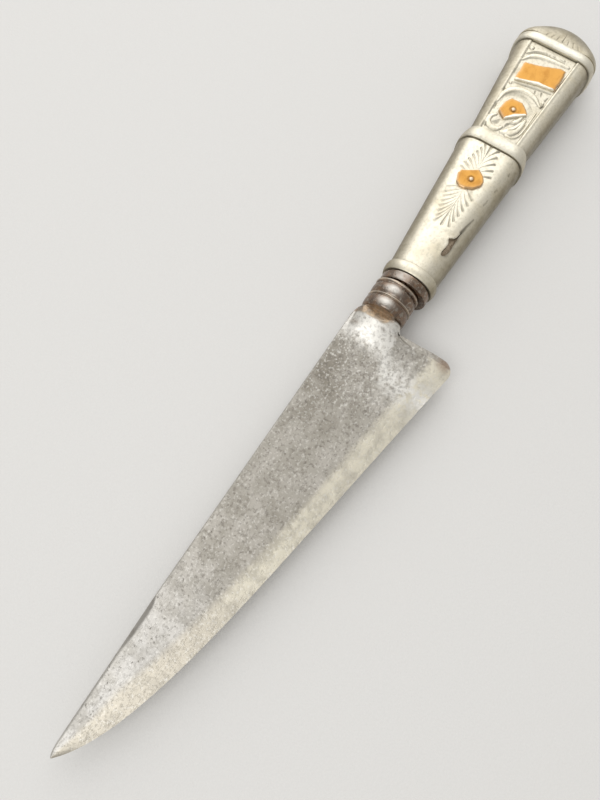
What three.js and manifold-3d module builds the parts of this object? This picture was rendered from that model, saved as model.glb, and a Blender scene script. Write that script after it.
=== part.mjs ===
// A small gaucho knife: a forged blade with a turned bolster, in a sheet nickel-silver handle with gilt
// ornaments, lying on its side as it lies on a table.
//
// Sizes are in millimetres. In the knife's own frame X runs along the handle's axis from the tip to the
// pommel, Y points to the spine and Z out of the decorated front. The knife rests on the crests of its
// handle's rings, which hold the blade clear of the table, and is centred over the origin.
import * as THREE from "three";
import { mergeVertices } from "three/addons/utils/BufferGeometryUtils.js";
import Module from "manifold-3d";

// Blade outline
const BLADE_LENGTH = 132.8; // tip to the rear of the heel
const TIP_RISE = 9.1; // tip above the handle's axis
const TIP_ROUNDING = 4; // stretch over which the spine rounds down to the tip
const SPINE_CREST = 10.1; // spine above the axis where the false edge starts
const SPINE_ROOT = 8.4; // spine above the axis at the bolster
const HEEL_DEPTH = 23.1; // heel below the axis
const HEEL_RADIUS = 3.6; // rounded lower corner of the heel
const HEEL_LEAN = 0.8; // how far the heel's rear edge leans forward on its way up
const BELLY_TIP_REACH = 15; // handles of the edge's curve, along the blade and down from the tip
const BELLY_TIP_DROP = 15.2;
const BELLY_HEEL_REACH = 65.8; // the same, forward from the heel and up from it
const BELLY_HEEL_RISE = 12.4;

// Blade thickness and grinds
const ROOT_THICKNESS = 3.4; // at the spine, by the bolster
const TIP_THICKNESS = 1;
const BEVEL_THICKNESS = 1.5; // at the top of the edge's bevel, by the heel
const EDGE_THICKNESS = 0.2;
const BEVEL_WIDTH = 4.6; // ground band along the edge
const FALSE_EDGE_LENGTH = 42; // bevelled stretch of the spine behind the tip
const FALSE_EDGE_WIDTH = 1.7;
const FALSE_EDGE_THICKNESS = 0.6; // left on the spine between the two bevels
const SPINE_EASE = 0.3; // eased corners of the spine
const BEVEL_SHARE = 0.4; // near the tip each bevel takes no more than its share of the blade's depth
const FALSE_EDGE_SHARE = 0.3;

// Bolster, turned on the forging behind the blade
const BOLSTER_SETBACK = 1.8; // top of the slope, ahead of the heel's rear
const BOLSTER_RISE = 1.1; // the beads' axis above the handle's axis
const FLARE_LENGTH = 2.6; // slope up from the blade's flats
const FLARE_HEIGHT = 10.6; // across the flats at the top of that slope
const NECK_LENGTH = 3.4; // filed neck between the slope and the beads
const BEAD_DIAMETER = 13.2;
const BEAD_LENGTH = 3.8;
const BEAD_VALLEY_DIAMETER = 12.2;
const FILLET_LENGTH = 1.4; // step between the second bead and the collar
const FILLET_DIAMETER = 12.8;
const COLLAR_DIAMETER = 15.2;
const COLLAR_LENGTH = 2.6;
const FILE_RADIUS = 2.1; // round file that cut the half-moon hollows
const FILE_DEPTH = 1.2;

// Tang inside the handle
const TANG_LENGTH = 62;
const TANG_ROOT = { width: 6.4, thickness: 5, corner: 0.8 };
const TANG_END = { width: 4, thickness: 3, corner: 0.8 };

// Handle: lengths from the bolster to the pommel
const THROAT_WIDTH = 3;
const LOWER_SLEEVE_LENGTH = 44.2;
const BAND_WIDTH = 3.9;
const UPPER_SLEEVE_LENGTH = 35.8;
const CAP_RING_WIDTH = 2.9;
const DOME_LENGTH = 9.9;

// Handle: one thickness, and the width across the blade's plane and the corner radius at the mouth, at
// the lower sleeve's end, at the upper sleeve's start and at the pommel
const HANDLE_THICKNESS = 14;
const MOUTH = { width: 14.6, corner: 6.4 };
const WAIST = { width: 20.5, corner: 4.8 };
const FOOT = { width: 18.6, corner: 3.2 };
const CROWN = { width: 25.3, corner: 4.8 };
const SHEET = 0.9; // sheet of the sleeves and the dome
const RING_PROUD = 0.75; // how far each ring stands out of the sleeves
const RING_EDGE = 0.3; // share of that height left at a ring's two edges
const DOME_FULLNESS = 2.2; // exponent of the dome's profile: 2 is an ellipse, more is fuller
const DOME_TURN = THREE.MathUtils.degToRad(87); // of its quarter turn; the rest is a small flat

// Decoration on the front
const PANEL_DEPTH = 0.35; // sunk field of the upper sleeve
const PANEL_MARGIN = 0.35; // border left at each side of the field
const PANEL_BAND_MARGIN = 0.8; // border left at its two ends
const PANEL_CAP_MARGIN = 2.2;
const GILT_THICKNESS = 0.6;
const LOWER_ROSETTE = { along: 30.5, across: 0.3, size: 7 };
const UPPER_ROSETTE = { along: 10, across: 1.3, size: 8.4 };
const GILT_PLATE = { along: 24.3, across: 0, length: 7.1, width: 12.3, skew: 3 };
const PIN_DIAMETER = 1.3;
const PIN_HEAD_DIAMETER = 1.9;
const PIN_HEAD_RISE = 0.45;
const PIN_LENGTH = 3.2; // shank below the head

// Tear in the lower sleeve, on the edge side of its front
const TEAR = { along: 6.7, across: -4, length: 10.7, width: 2 };

// Clearances
const JOINT_GAP = 0.2; // between pieces that meet end to end
const FILL_GAP = 0.25; // between the fill and what it holds or fills
const SOLDER_GAP = 0.15; // under the gilt ornaments
const PIN_GAP = 0.12;

// Fineness of the faceted surfaces
const CORNER_STEPS = 6; // facets on a quarter turn
const EDGE_STATIONS = 26; // sections along the blade's curved edge
const HEEL_STEPS = 6;
const SLEEVE_STEPS = 3;
const DOME_STEPS = 9;
const BULGE_STEPS = 6; // facets across a ring's or a bead's round profile
const PIN_SIDES = 14;
const PIN_HEAD_STEPS = 4;

// Places along X, worked out from the lengths above
const FLARE_END = BLADE_LENGTH - BOLSTER_SETBACK;
const FLARE_START = FLARE_END - FLARE_LENGTH;
const BEADS_START = FLARE_END + NECK_LENGTH;
const FILLET_START = BEADS_START + 2 * BEAD_LENGTH;
const COLLAR_START = FILLET_START + FILLET_LENGTH;
const COLLAR_END = COLLAR_START + COLLAR_LENGTH;
const TANG_TIP = COLLAR_END + TANG_LENGTH;
const THROAT_START = COLLAR_END + JOINT_GAP;
const THROAT_END = THROAT_START + THROAT_WIDTH;
const LOWER_START = THROAT_END + JOINT_GAP;
const LOWER_END = LOWER_START + LOWER_SLEEVE_LENGTH;
const BAND_START = LOWER_END + JOINT_GAP;
const BAND_END = BAND_START + BAND_WIDTH;
const UPPER_START = BAND_END + JOINT_GAP;
const UPPER_END = UPPER_START + UPPER_SLEEVE_LENGTH;
const CAP_RING_START = UPPER_END + JOINT_GAP;
const CAP_RING_END = CAP_RING_START + CAP_RING_WIDTH;
const DOME_START = CAP_RING_END + JOINT_GAP;

const wasm = await Module();
wasm.setup();
const lerp = THREE.MathUtils.lerp;
const clamp = THREE.MathUtils.clamp;
const QUARTER_TURN = Math.PI / 2;

// Solids

// The closed surface over a row of rings with equally many points, each running from +Y towards +Z.
// A row that returns to its first ring makes a tube wall; any other row gets two end faces.
function skin(rings, returns = false) {
  const count = rings[0].length;
  const index = [];
  const steps = returns ? rings.length : rings.length - 1;
  for (let i = 0; i < steps; i++) {
    const here = i * count;
    const next = ((i + 1) % rings.length) * count;
    for (let j = 0; j < count; j++) {
      const k = (j + 1) % count;
      index.push(here + j, here + k, next + k, here + j, next + k, next + j);
    }
  }
  if (!returns) {
    const last = (rings.length - 1) * count;
    const flat = (ring) => ring.map((p) => new THREE.Vector2(p.y, p.z));
    for (const [a, b, c] of THREE.ShapeUtils.triangulateShape(flat(rings[0]), [])) {
      index.push(a, c, b);
    }
    for (const [a, b, c] of THREE.ShapeUtils.triangulateShape(flat(rings.at(-1)), [])) {
      index.push(last + a, last + b, last + c);
    }
  }
  return new THREE.BufferGeometry().setFromPoints(rings.flat()).setIndex(index);
}

// A geometry as a solid that can be joined and cut.
function solid(geometry) {
  const bare = geometry.clone();
  bare.deleteAttribute("normal");
  bare.deleteAttribute("uv");
  const merged = mergeVertices(bare, 1e-4);
  return new wasm.Manifold(
    new wasm.Mesh({
      numProp: 3,
      vertProperties: new Float32Array(merged.attributes.position.array),
      triVerts: new Uint32Array(merged.index.array),
    }),
  );
}

function geometryOf(body) {
  const mesh = body.getMesh();
  return new THREE.BufferGeometry()
    .setAttribute("position", new THREE.BufferAttribute(mesh.vertProperties, 3))
    .setIndex(new THREE.BufferAttribute(mesh.triVerts, 1));
}

const joined = (geometries) => geometryOf(geometries.map(solid).reduce((all, one) => all.add(one)));
const cut = (geometry, tools) =>
  geometryOf(tools.map(solid).reduce((rest, tool) => rest.subtract(tool), solid(geometry)));

// A rectangle with rounded corners across X, as a ring. A corner stays a little smaller than its wall,
// so that no two points fall together.
function section(x, halfWidth, halfHeight, corner) {
  const radius = Math.min(corner, 0.96 * Math.min(halfWidth, halfHeight));
  const ring = [];
  for (let quarter = 0; quarter < 4; quarter++) {
    const y = (quarter === 0 || quarter === 3 ? 1 : -1) * (halfWidth - radius);
    const z = (quarter < 2 ? 1 : -1) * (halfHeight - radius);
    for (let step = 0; step <= CORNER_STEPS; step++) {
      const turn = (quarter + step / CORNER_STEPS) * QUARTER_TURN;
      ring.push(new THREE.Vector3(x, y + radius * Math.cos(turn), z + radius * Math.sin(turn)));
    }
  }
  return ring;
}

const disc = (x, diameter) => section(x, diameter / 2, diameter / 2, diameter / 2);

// Handle envelope: the sleeves' outer size at x, straight between the four places where it is given.
const envelopeStations = [
  [THROAT_START, MOUTH],
  [BAND_START, WAIST],
  [BAND_END, FOOT],
  [CAP_RING_END, CROWN],
];
function envelope(x) {
  const next = envelopeStations.findIndex(([at], i) => i > 0 && x <= at);
  const [start, from] = envelopeStations[next - 1];
  const [end, to] = envelopeStations[next];
  const share = (x - start) / (end - start);
  return {
    halfWidth: lerp(from.width, to.width, share) / 2,
    halfHeight: HANDLE_THICKNESS / 2,
    corner: lerp(from.corner, to.corner, share),
  };
}

// The envelope's section at x, grown outwards by a distance or, where it is negative, shrunk.
function grown(x, by) {
  const { halfWidth, halfHeight, corner } = envelope(x);
  return section(x, halfWidth + by, halfHeight + by, corner + by);
}

const spread = (from, to, steps) =>
  Array.from({ length: steps + 1 }, (_, i) => lerp(from, to, i / steps));

// Blade

// Half the blade's thickness on its flat faces, which are true planes.
const LENGTHWISE_TAPER = (ROOT_THICKNESS - TIP_THICKNESS) / 2 / FLARE_START;
const CROSSWISE_TAPER =
  (ROOT_THICKNESS - BEVEL_THICKNESS) / 2 / (SPINE_ROOT + HEEL_DEPTH - BEVEL_WIDTH);
const halfThickness = (x, y) =>
  ROOT_THICKNESS / 2 - LENGTHWISE_TAPER * (FLARE_START - x) - CROSSWISE_TAPER * (SPINE_ROOT - y);

const edgeCurve = new THREE.CubicBezierCurve(
  new THREE.Vector2(0, TIP_RISE),
  new THREE.Vector2(BELLY_TIP_REACH, TIP_RISE - BELLY_TIP_DROP),
  new THREE.Vector2(BLADE_LENGTH - HEEL_RADIUS - BELLY_HEEL_REACH, BELLY_HEEL_RISE - HEEL_DEPTH),
  new THREE.Vector2(BLADE_LENGTH - HEEL_RADIUS, -HEEL_DEPTH),
);

// The spine runs straight down to the bolster, level along the false edge, and round at the tip.
function spineAt(x) {
  if (x > FALSE_EDGE_LENGTH) {
    const share = (x - FALSE_EDGE_LENGTH) / (BLADE_LENGTH - FALSE_EDGE_LENGTH);
    return lerp(SPINE_CREST, SPINE_ROOT, share);
  }
  const toTip = clamp(1 - x / TIP_ROUNDING, 0, 1);
  return lerp(TIP_RISE, SPINE_CREST, Math.sqrt(1 - toTip * toTip));
}

// One section of the blade: spine, false edge, flat, edge bevel and edge, front face then back face.
function bladeSection(x, edgeY, lean) {
  const spineY = spineAt(x) + EDGE_THICKNESS;
  const depth = spineY - edgeY;
  const falseShare = clamp((FALSE_EDGE_LENGTH - x) / FALSE_EDGE_WIDTH, 0, 1);
  const falseWidth = lerp(SPINE_EASE, FALSE_EDGE_WIDTH, falseShare);
  const shoulderY = spineY - Math.min(falseWidth, FALSE_EDGE_SHARE * depth);
  const bevelY = edgeY + Math.min(BEVEL_WIDTH, BEVEL_SHARE * depth);
  const at = (y) => x - lean * clamp((y + HEEL_DEPTH) / HEEL_DEPTH, 0, 1);
  const thin = EDGE_THICKNESS / 2;
  const flat = (y) => Math.max(halfThickness(at(y), y), thin);
  const ground = lerp(flat(spineY) - SPINE_EASE, FALSE_EDGE_THICKNESS / 2, falseShare);
  const front = [
    [spineY, clamp(ground, thin, flat(shoulderY))],
    [shoulderY, flat(shoulderY)],
    [bevelY, flat(bevelY)],
    [edgeY, thin],
  ];
  const back = front.map(([y, half]) => [y, -half]).reverse();
  return [...front, ...back].map(([y, z]) => new THREE.Vector3(at(y), y, z));
}

function bladeGeometry() {
  const stations = spread(0, 1, EDGE_STATIONS).map((share) => edgeCurve.getPoint(share * share));
  const sections = stations.map((p) => bladeSection(p.x, p.y, 0));
  for (let step = 1; step <= HEEL_STEPS; step++) {
    const turn = (step / HEEL_STEPS) * QUARTER_TURN;
    const x = BLADE_LENGTH - HEEL_RADIUS + HEEL_RADIUS * Math.sin(turn);
    const y = HEEL_RADIUS - HEEL_DEPTH - HEEL_RADIUS * Math.cos(turn);
    sections.push(bladeSection(x, y, HEEL_LEAN * (step / HEEL_STEPS)));
  }
  return skin(sections);
}

// The round profile of a bead or a ring: places along X with how far each stands out, from 0 to 1.
const bulge = (start, end) =>
  spread(-1, 1, BULGE_STEPS).map((u) => [
    lerp(start, end, (u + 1) / 2),
    Math.sqrt(1 - (1 - RING_EDGE * RING_EDGE) * u * u),
  ]);

// Slope, neck, two beads and fillet on the beads' axis, with the slope's foot inside the blade.
function beadsGeometry() {
  const half = BEAD_DIAMETER / 2;
  const rings = [
    section(FLARE_START, half, ROOT_THICKNESS / 4, ROOT_THICKNESS / 4),
    section(FLARE_END, half, FLARE_HEIGHT / 2, FLARE_HEIGHT / 2),
    disc(BEADS_START - JOINT_GAP, BEAD_VALLEY_DIAMETER),
  ];
  for (const start of [BEADS_START, BEADS_START + BEAD_LENGTH]) {
    for (const [x, rise] of bulge(start, start + BEAD_LENGTH - JOINT_GAP)) {
      rings.push(disc(x, lerp(BEAD_VALLEY_DIAMETER, BEAD_DIAMETER, rise)));
    }
  }
  rings.push(disc(FILLET_START, FILLET_DIAMETER), disc(COLLAR_START + JOINT_GAP, FILLET_DIAMETER));
  return skin(rings).translate(0, BOLSTER_RISE, 0);
}

const collarGeometry = () =>
  skin([disc(COLLAR_START, COLLAR_DIAMETER), disc(COLLAR_END, COLLAR_DIAMETER)]);

// The tang, or the socket that it leaves in the fill, larger all round by a gap.
function tangGeometry(start, gap) {
  const bar = (x, { width, thickness, corner }) =>
    section(x, width / 2 + gap, thickness / 2 + gap, corner + gap);
  return skin([bar(start, TANG_ROOT), bar(TANG_TIP + gap, TANG_END)]);
}

// A round file's cut across the neck, on the front or, with side -1, on the back.
function fileCut(side) {
  const length = 2 * BEAD_DIAMETER;
  const file = new THREE.CylinderGeometry(FILE_RADIUS, FILE_RADIUS, length, 4 * CORNER_STEPS);
  const height = BEAD_VALLEY_DIAMETER / 2 - FILE_DEPTH + FILE_RADIUS;
  return file.translate(FLARE_END + NECK_LENGTH / 2, BOLSTER_RISE, side * height);
}

function forgingGeometry() {
  const bolster = cut(beadsGeometry(), [fileCut(1), fileCut(-1)]);
  const tangRoot = (COLLAR_START + COLLAR_END) / 2;
  return joined([bladeGeometry(), bolster, collarGeometry(), tangGeometry(tangRoot, 0)]);
}

// Handle

// A ring round the fill, with a half-round outside that stands proud of the sleeves.
function ringGeometry(start, end) {
  const outside = bulge(start, end).map(([x, rise]) => grown(x, RING_PROUD * rise));
  return skin([...outside, grown(end, -SHEET), grown(start, -SHEET)], true);
}

// A tapered sleeve of sheet.
function sleeveGeometry(start, end) {
  const places = spread(start, end, SLEEVE_STEPS);
  const inside = places.map((x) => grown(x, -SHEET)).reverse();
  return skin([...places.map((x) => grown(x, 0)), ...inside], true);
}

// The dome's sections, shrunk all round by an inset. Their corners grow round towards the top.
function domeRings(inset) {
  const { halfWidth, halfHeight, corner } = envelope(CAP_RING_END);
  const reach = DOME_LENGTH - inset;
  return spread(0, DOME_TURN, DOME_STEPS).map((turn) => {
    const along = Math.sin(turn);
    const size = (1 - along ** DOME_FULLNESS) ** (1 / DOME_FULLNESS);
    const round = lerp(corner - inset, Math.min(halfWidth, halfHeight), along);
    const x = DOME_START + reach * along;
    return section(x, size * (halfWidth - inset), size * (halfHeight - inset), size * round);
  });
}

// The dome's hollow starts just before its rim, so that the cut leaves no skin over the mouth.
function domeGeometry() {
  const hollow = domeRings(SHEET);
  const mouth = hollow[0].map((p) => p.clone().setX(DOME_START - JOINT_GAP));
  return cut(skin(domeRings(0)), [skin([mouth, ...hollow])]);
}

function fillGeometry() {
  const inset = SHEET + FILL_GAP;
  const lower = spread(THROAT_START + JOINT_GAP, BAND_START, SLEEVE_STEPS);
  const upper = spread(BAND_END, CAP_RING_END, SLEEVE_STEPS);
  const rings = [...lower, ...upper].map((x) => grown(x, -inset)).concat(domeRings(inset));
  const pins = [lowerRosetteAt, upperRosetteAt].map((at) => pinHole().translate(...at));
  return cut(skin(rings), [tangGeometry(THROAT_START - JOINT_GAP, FILL_GAP), ...pins]);
}

// Front decoration

// The ornaments' places: the lower rosette on the sleeve's face, the others in the sunk field.
const FACE = HANDLE_THICKNESS / 2;
const FIELD = FACE - PANEL_DEPTH;
const lowerRosetteAt = [LOWER_START + LOWER_ROSETTE.along, LOWER_ROSETTE.across, FACE];
const upperRosetteAt = [UPPER_START + UPPER_ROSETTE.along, UPPER_ROSETTE.across, FIELD];
const giltPlateAt = [UPPER_START + GILT_PLATE.along, GILT_PLATE.across, FIELD];

// The hole for a pin, drawn at the origin, through an ornament and the front and into the fill.
function pinHole() {
  const depth = PIN_LENGTH + PIN_GAP;
  const radius = PIN_DIAMETER / 2 + PIN_GAP;
  return new THREE.CylinderGeometry(radius, radius, 2 * depth, PIN_SIDES).rotateX(QUARTER_TURN);
}

// A pin with a domed head that sits on an ornament's face, drawn at the origin.
function pinGeometry() {
  const shank = PIN_DIAMETER / 2;
  const head = PIN_HEAD_DIAMETER / 2;
  const profile = [new THREE.Vector2(0, -PIN_LENGTH), new THREE.Vector2(shank, -PIN_LENGTH)];
  profile.push(new THREE.Vector2(shank, 0), new THREE.Vector2(head, 0));
  for (const turn of spread(0, QUARTER_TURN, PIN_HEAD_STEPS).slice(1, -1)) {
    profile.push(new THREE.Vector2(head * Math.cos(turn), PIN_HEAD_RISE * Math.sin(turn)));
  }
  profile.push(new THREE.Vector2(0, PIN_HEAD_RISE));
  const face = SOLDER_GAP + GILT_THICKNESS + PIN_GAP;
  return new THREE.LatheGeometry(profile, PIN_SIDES).rotateX(QUARTER_TURN).translate(0, 0, face);
}

// A flat ornament cut from gilt sheet, drawn at the origin.
function giltGeometry(corners) {
  const outline = new THREE.Shape(corners.map(([x, y]) => new THREE.Vector2(x, y)));
  const sheet = new THREE.ExtrudeGeometry(outline, { depth: GILT_THICKNESS, bevelEnabled: false });
  return sheet.translate(0, 0, SOLDER_GAP);
}

// The lower rosette is a lozenge with clipped corners, pointed towards the pommel.
function lowerRosetteGeometry() {
  const half = LOWER_ROSETTE.size / 2;
  const corners = [
    [-half, 0.5 * half],
    [-half, -0.35 * half],
    [-0.3 * half, -0.92 * half],
    [0.5 * half, -0.86 * half],
    [half, 0],
    [0.45 * half, 0.9 * half],
    [-0.45 * half, 0.9 * half],
  ];
  return cut(giltGeometry(corners), [pinHole()]);
}

// The upper rosette is a six-sided star with one long point towards the blade.
function upperRosetteGeometry() {
  const half = UPPER_ROSETTE.size / 2;
  const corners = [
    [-half, 0.1 * half],
    [-0.25 * half, -0.3 * half],
    [0.2 * half, -half],
    [0.85 * half, -0.55 * half],
    [half, 0.2 * half],
    [0.4 * half, 0.9 * half],
    [-0.5 * half, 0.9 * half],
  ];
  return cut(giltGeometry(corners), [pinHole()]);
}

// The plate is a hand-cut rectangle set askew.
function giltPlateGeometry() {
  const { length, width, skew } = GILT_PLATE;
  return giltGeometry([
    [-length / 2 + skew / 2, -width / 2],
    [length / 2 + skew / 2, -width / 2],
    [length / 2 - skew / 2, width / 2],
    [-length / 2 - skew / 2, width / 2],
  ]);
}

// The sunk field on the upper sleeve's front, as the block that is cut away.
function panelCut() {
  const ends = [UPPER_START + PANEL_BAND_MARGIN, UPPER_END - PANEL_CAP_MARGIN];
  const rings = ends.map((x) => {
    const { halfWidth, corner } = envelope(x);
    const half = halfWidth - corner - PANEL_MARGIN;
    const high = FACE + HANDLE_THICKNESS;
    return [[half, FIELD], [half, high], [-half, high], [-half, FIELD]].map(
      ([y, z]) => new THREE.Vector3(x, y, z),
    );
  });
  return skin(rings);
}

// The tear, as a sliver of a block pushed in through the sleeve's front.
function tearCut() {
  const { along, across, length, width } = TEAR;
  const outline = new THREE.Shape();
  outline.moveTo(0, 0);
  outline.lineTo(0.16 * length, -0.4 * width);
  outline.lineTo(0.42 * length, -0.65 * width);
  outline.lineTo(length, -0.7 * width);
  outline.lineTo(0.75 * length, -0.15 * width);
  outline.lineTo(0.55 * length, 0.35 * width);
  outline.lineTo(0.12 * length, 0.1 * width);
  const block = new THREE.ExtrudeGeometry(outline, { depth: HANDLE_THICKNESS, bevelEnabled: false });
  return block.translate(LOWER_START + along, across, 0);
}

const lowerSleeveGeometry = () =>
  cut(sleeveGeometry(LOWER_START, LOWER_END), [tearCut(), pinHole().translate(...lowerRosetteAt)]);
const upperSleeveGeometry = () =>
  cut(sleeveGeometry(UPPER_START, UPPER_END), [panelCut(), pinHole().translate(...upperRosetteAt)]);

// Assembly

const finish = (color, roughness, metalness) =>
  new THREE.MeshStandardMaterial({ color, roughness, metalness });
const steel = finish(0x8f8a80, 0.55, 0.9);
const nickelSilver = finish(0xd6cfb8, 0.35, 0.95);
const gilt = finish(0xd9973f, 0.4, 0.9);
const pitch = finish(0x5a4632, 0.8, 0);

function add(group, name, geometry, material) {
  const mesh = new THREE.Mesh(geometry, material);
  mesh.name = name;
  group.add(mesh);
  return mesh;
}

const knife = new THREE.Group();
add(knife, "blade", forgingGeometry(), steel);

const handle = new THREE.Group();
knife.add(handle);
add(handle, "handle_fill", fillGeometry(), pitch);
add(handle, "throat_ring", ringGeometry(THROAT_START, THROAT_END), nickelSilver);
add(handle, "lower_sleeve", lowerSleeveGeometry(), nickelSilver);
add(handle, "middle_band", ringGeometry(BAND_START, BAND_END), nickelSilver);
add(handle, "upper_sleeve", upperSleeveGeometry(), nickelSilver);
add(handle, "cap_ring", ringGeometry(CAP_RING_START, CAP_RING_END), nickelSilver);
add(handle, "pommel_dome", domeGeometry(), nickelSilver);

// Each ornament has a group of its own, set on the front, that holds it with its pin.
function ornament(at) {
  const group = new THREE.Group();
  group.position.set(...at);
  handle.add(group);
  return group;
}

const lowerRosette = ornament(lowerRosetteAt);
add(lowerRosette, "lower_rosette", lowerRosetteGeometry(), gilt);
add(lowerRosette, "lower_rosette_pin", pinGeometry(), gilt);
const upperRosette = ornament(upperRosetteAt);
add(upperRosette, "upper_rosette", upperRosetteGeometry(), gilt);
add(upperRosette, "upper_rosette_pin", pinGeometry(), gilt);
add(ornament(giltPlateAt), "gilt_plate", giltPlateGeometry(), gilt);

// Resting on the table, centred over the origin.
const part = new THREE.Group();
part.add(knife);
part.updateMatrixWorld(true);
const bounds = new THREE.Box3().setFromObject(part, true);
const middle = bounds.getCenter(new THREE.Vector3());
knife.position.set(-middle.x, -middle.y, -bounds.min.z);

export default part;
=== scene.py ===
"""Looks of a small gaucho knife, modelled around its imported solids.

The blade, bolster and tang are one pitted forging. Rings, engraved sleeves and a dome of nickel silver make
the handle, with gilt ornaments pinned to its front and pitch inside.

Sizes are in millimetres in the knife's own frame: X from the tip along the handle's axis, Y to the spine and
Z out of the decorated front. Finished meshes are in metres, where the solids are. Masks, shares and amounts
run from 0 to 1.
"""

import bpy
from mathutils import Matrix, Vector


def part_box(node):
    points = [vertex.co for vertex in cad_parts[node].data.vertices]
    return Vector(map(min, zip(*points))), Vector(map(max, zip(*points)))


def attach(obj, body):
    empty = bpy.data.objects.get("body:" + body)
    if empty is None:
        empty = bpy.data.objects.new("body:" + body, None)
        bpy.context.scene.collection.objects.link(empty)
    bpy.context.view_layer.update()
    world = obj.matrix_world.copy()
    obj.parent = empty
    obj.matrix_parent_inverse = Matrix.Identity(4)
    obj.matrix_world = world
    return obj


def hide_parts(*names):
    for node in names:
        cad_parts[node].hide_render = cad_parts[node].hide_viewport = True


bl_info = {
    "name": "Gaucho Knife",
    "version": (1, 0, 0),
    "blender": (4, 5, 0),
    "location": "View3D > Sidebar > Knife",
    "description": "Models a forged blade and an engraved nickel-silver handle around their solids",
    "category": "Object",
}

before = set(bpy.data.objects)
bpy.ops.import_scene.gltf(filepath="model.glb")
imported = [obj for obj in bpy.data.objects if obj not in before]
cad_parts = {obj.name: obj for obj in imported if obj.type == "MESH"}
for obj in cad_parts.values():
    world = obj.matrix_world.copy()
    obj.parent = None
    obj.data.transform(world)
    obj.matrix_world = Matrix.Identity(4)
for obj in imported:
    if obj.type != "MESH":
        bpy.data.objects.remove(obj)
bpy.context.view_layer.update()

import math

import bmesh
import bpy
import numpy as np
from bpy.props import FloatProperty, FloatVectorProperty, PointerProperty
from mathutils import Euler, Matrix, Vector, noise

BODY = "root"
MM = 0.001
WELD = 1e-4
SHARP_ANGLE = math.radians(50)

# The knife's own frame starts at the tip, on the axis of the handle's rings.
_ring_low, _ring_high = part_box("cap_ring")
_axis = (_ring_low + _ring_high) / 2
ORIGIN = Vector((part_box("blade")[0].x, _axis.y, _axis.z))
KNIFE_TO_FRAME = Matrix.Translation(ORIGIN) @ Matrix.Scale(MM, 4)


def reach(node):
    """Start and end of a solid along the knife, from the tip."""
    low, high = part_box(node)
    return (low.x - ORIGIN.x) / MM, (high.x - ORIGIN.x) / MM


THROAT = reach("throat_ring")
LOWER = reach("lower_sleeve")
BAND = reach("middle_band")
UPPER = reach("upper_sleeve")
CAP = reach("cap_ring")
DOME_END = reach("pommel_dome")[1]

# Blade outline and grinds
BLADE_LENGTH = 132.8
TIP = (0, 9.1)
TIP_ROUNDING = 4
SPINE_CREST = 10.1
SPINE_ROOT = 8.4
HEEL_DEPTH = 23.1
HEEL_RADIUS = 3.6
HEEL_START = BLADE_LENGTH - HEEL_RADIUS
EDGE_CURVE = (TIP, (15, -6.1), (HEEL_START - 65.8, -10.7), (HEEL_START, -HEEL_DEPTH))
ROOT = 128.4
ROOT_THICKNESS = 3.4
TIP_THICKNESS = 1
BEVEL_THICKNESS = 1.5
EDGE_THICKNESS = 0.2
BEVEL_WIDTH = 4.6
BEVEL_SHARE = 0.4
BEVEL_SOFTNESS = 0.22
FALSE_EDGE_LENGTH = 42
FALSE_EDGE_WIDTH = 1.7
FALSE_EDGE_AT = (0, 8, 27, 31, 37, 40, 42)
FALSE_EDGE_WIDTHS = (0.4, 0.45, 0.5, 1.1, 1.45, 1.1, 0.05)
FALSE_EDGE_THICKNESS = 0.6
FALSE_EDGE_SHARE = 0.3
SPINE_EASE = 0.3

# Bolster: slope up from the blade, filed neck, beads, ridges and collar
NECK_TOP = (132.9, 7.7)
NECK_FOOT = (132.9, -5.5)
INNER_CORNER = (132, -5.7)
REAR_EDGE_TOP = (132.1, -7.4)
SLOPE = (118, 131)
SLOPE_HEIGHTS = (-1.2, 4.7)
SLOPE_FALL = 6
SLOPE_SOFTNESS = 0.7
SLOPE_SQUARENESS = 2.9
SLOPE_REACH = 2.2
SLOPE_CROWN = 0.3
NECK_BLEND = (130.2, 132.9)
BOLSTER_RISE = 1.1
NECK_RADIUS = 6.1
NECK_SPREAD = 6.6
NECK_HEIGHT = 4.9
CUT = (130.9, 134.3)
CUT_HEIGHTS = (4.8, 3.7)
CUT_TILT = 0.1
CUT_WALL = 0.25
CUT_STOP = 10
BEADS = ((134.4, 137.75), (138.65, 141.9))
RIDGES = ((138, 138.4), (142.2, 143.2))
MOULDINGS = (BEADS[0], RIDGES[0], BEADS[1], RIDGES[1])
MOULDING_RADIUS = 6.6
MOULDING_EDGE = 0.3
VALLEY_RADIUS = 6.15
COLLAR = (143.4, 146)
COLLAR_RADIUS = 7.3
COLLAR_EASE = 0.3
TURNED_SQUARENESS = 2
TANG = ((146, 3.2, 2.5), (207.8, 2, 1.5))
TANG_SQUARENESS = 8

# Handle section: half the width and the corner radius where they are set, one half thickness
SECTION_AT = (THROAT[0], BAND[0], BAND[1], CAP[1])
HALF_WIDTHS = (7.3, 10.25, 9.3, 12.65)
CORNERS = (6.4, 4.8, 3.2, 4.8)
HALF_HEIGHT = 7
SHEET = 0.9
RING_PROUD = 0.75
RING_EDGE = 0.55
RIM_EASE = 0.12

# The section's walk: back, edge side, front, spine side and back, with flats and corners by turns
WALK_TURNS = (270, 270, 180, 180, 90, 90, 0, 0, -90, -90)
WALK_ACROSS = (0, -1, -1, -1, -1, 1, 1, 1, 1, 0)
WALK_UP = (-1, -1, -1, 1, 1, 1, 1, -1, -1, -1)
PLAIN_COLUMNS = (6, 10, 6, 12, 16, 12, 6, 10, 6)
ENGRAVED_COLUMNS = (6, 8, 6, 44, 100, 20, 6, 8, 6)

# The section's corners run into its flats softly: each place is the mean of these steps along the section
SOFTENING = (-2.1, -1.4, -0.7, 0, 0.7, 1.4, 2.1)

# Front ornaments are seated this high, with those of the panel on its sunk field
FIELD_DEPTH = 0.35
GILT_SEAT = 0.05
GILT_THICKNESS = 0.6


# Shaping helpers

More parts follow.
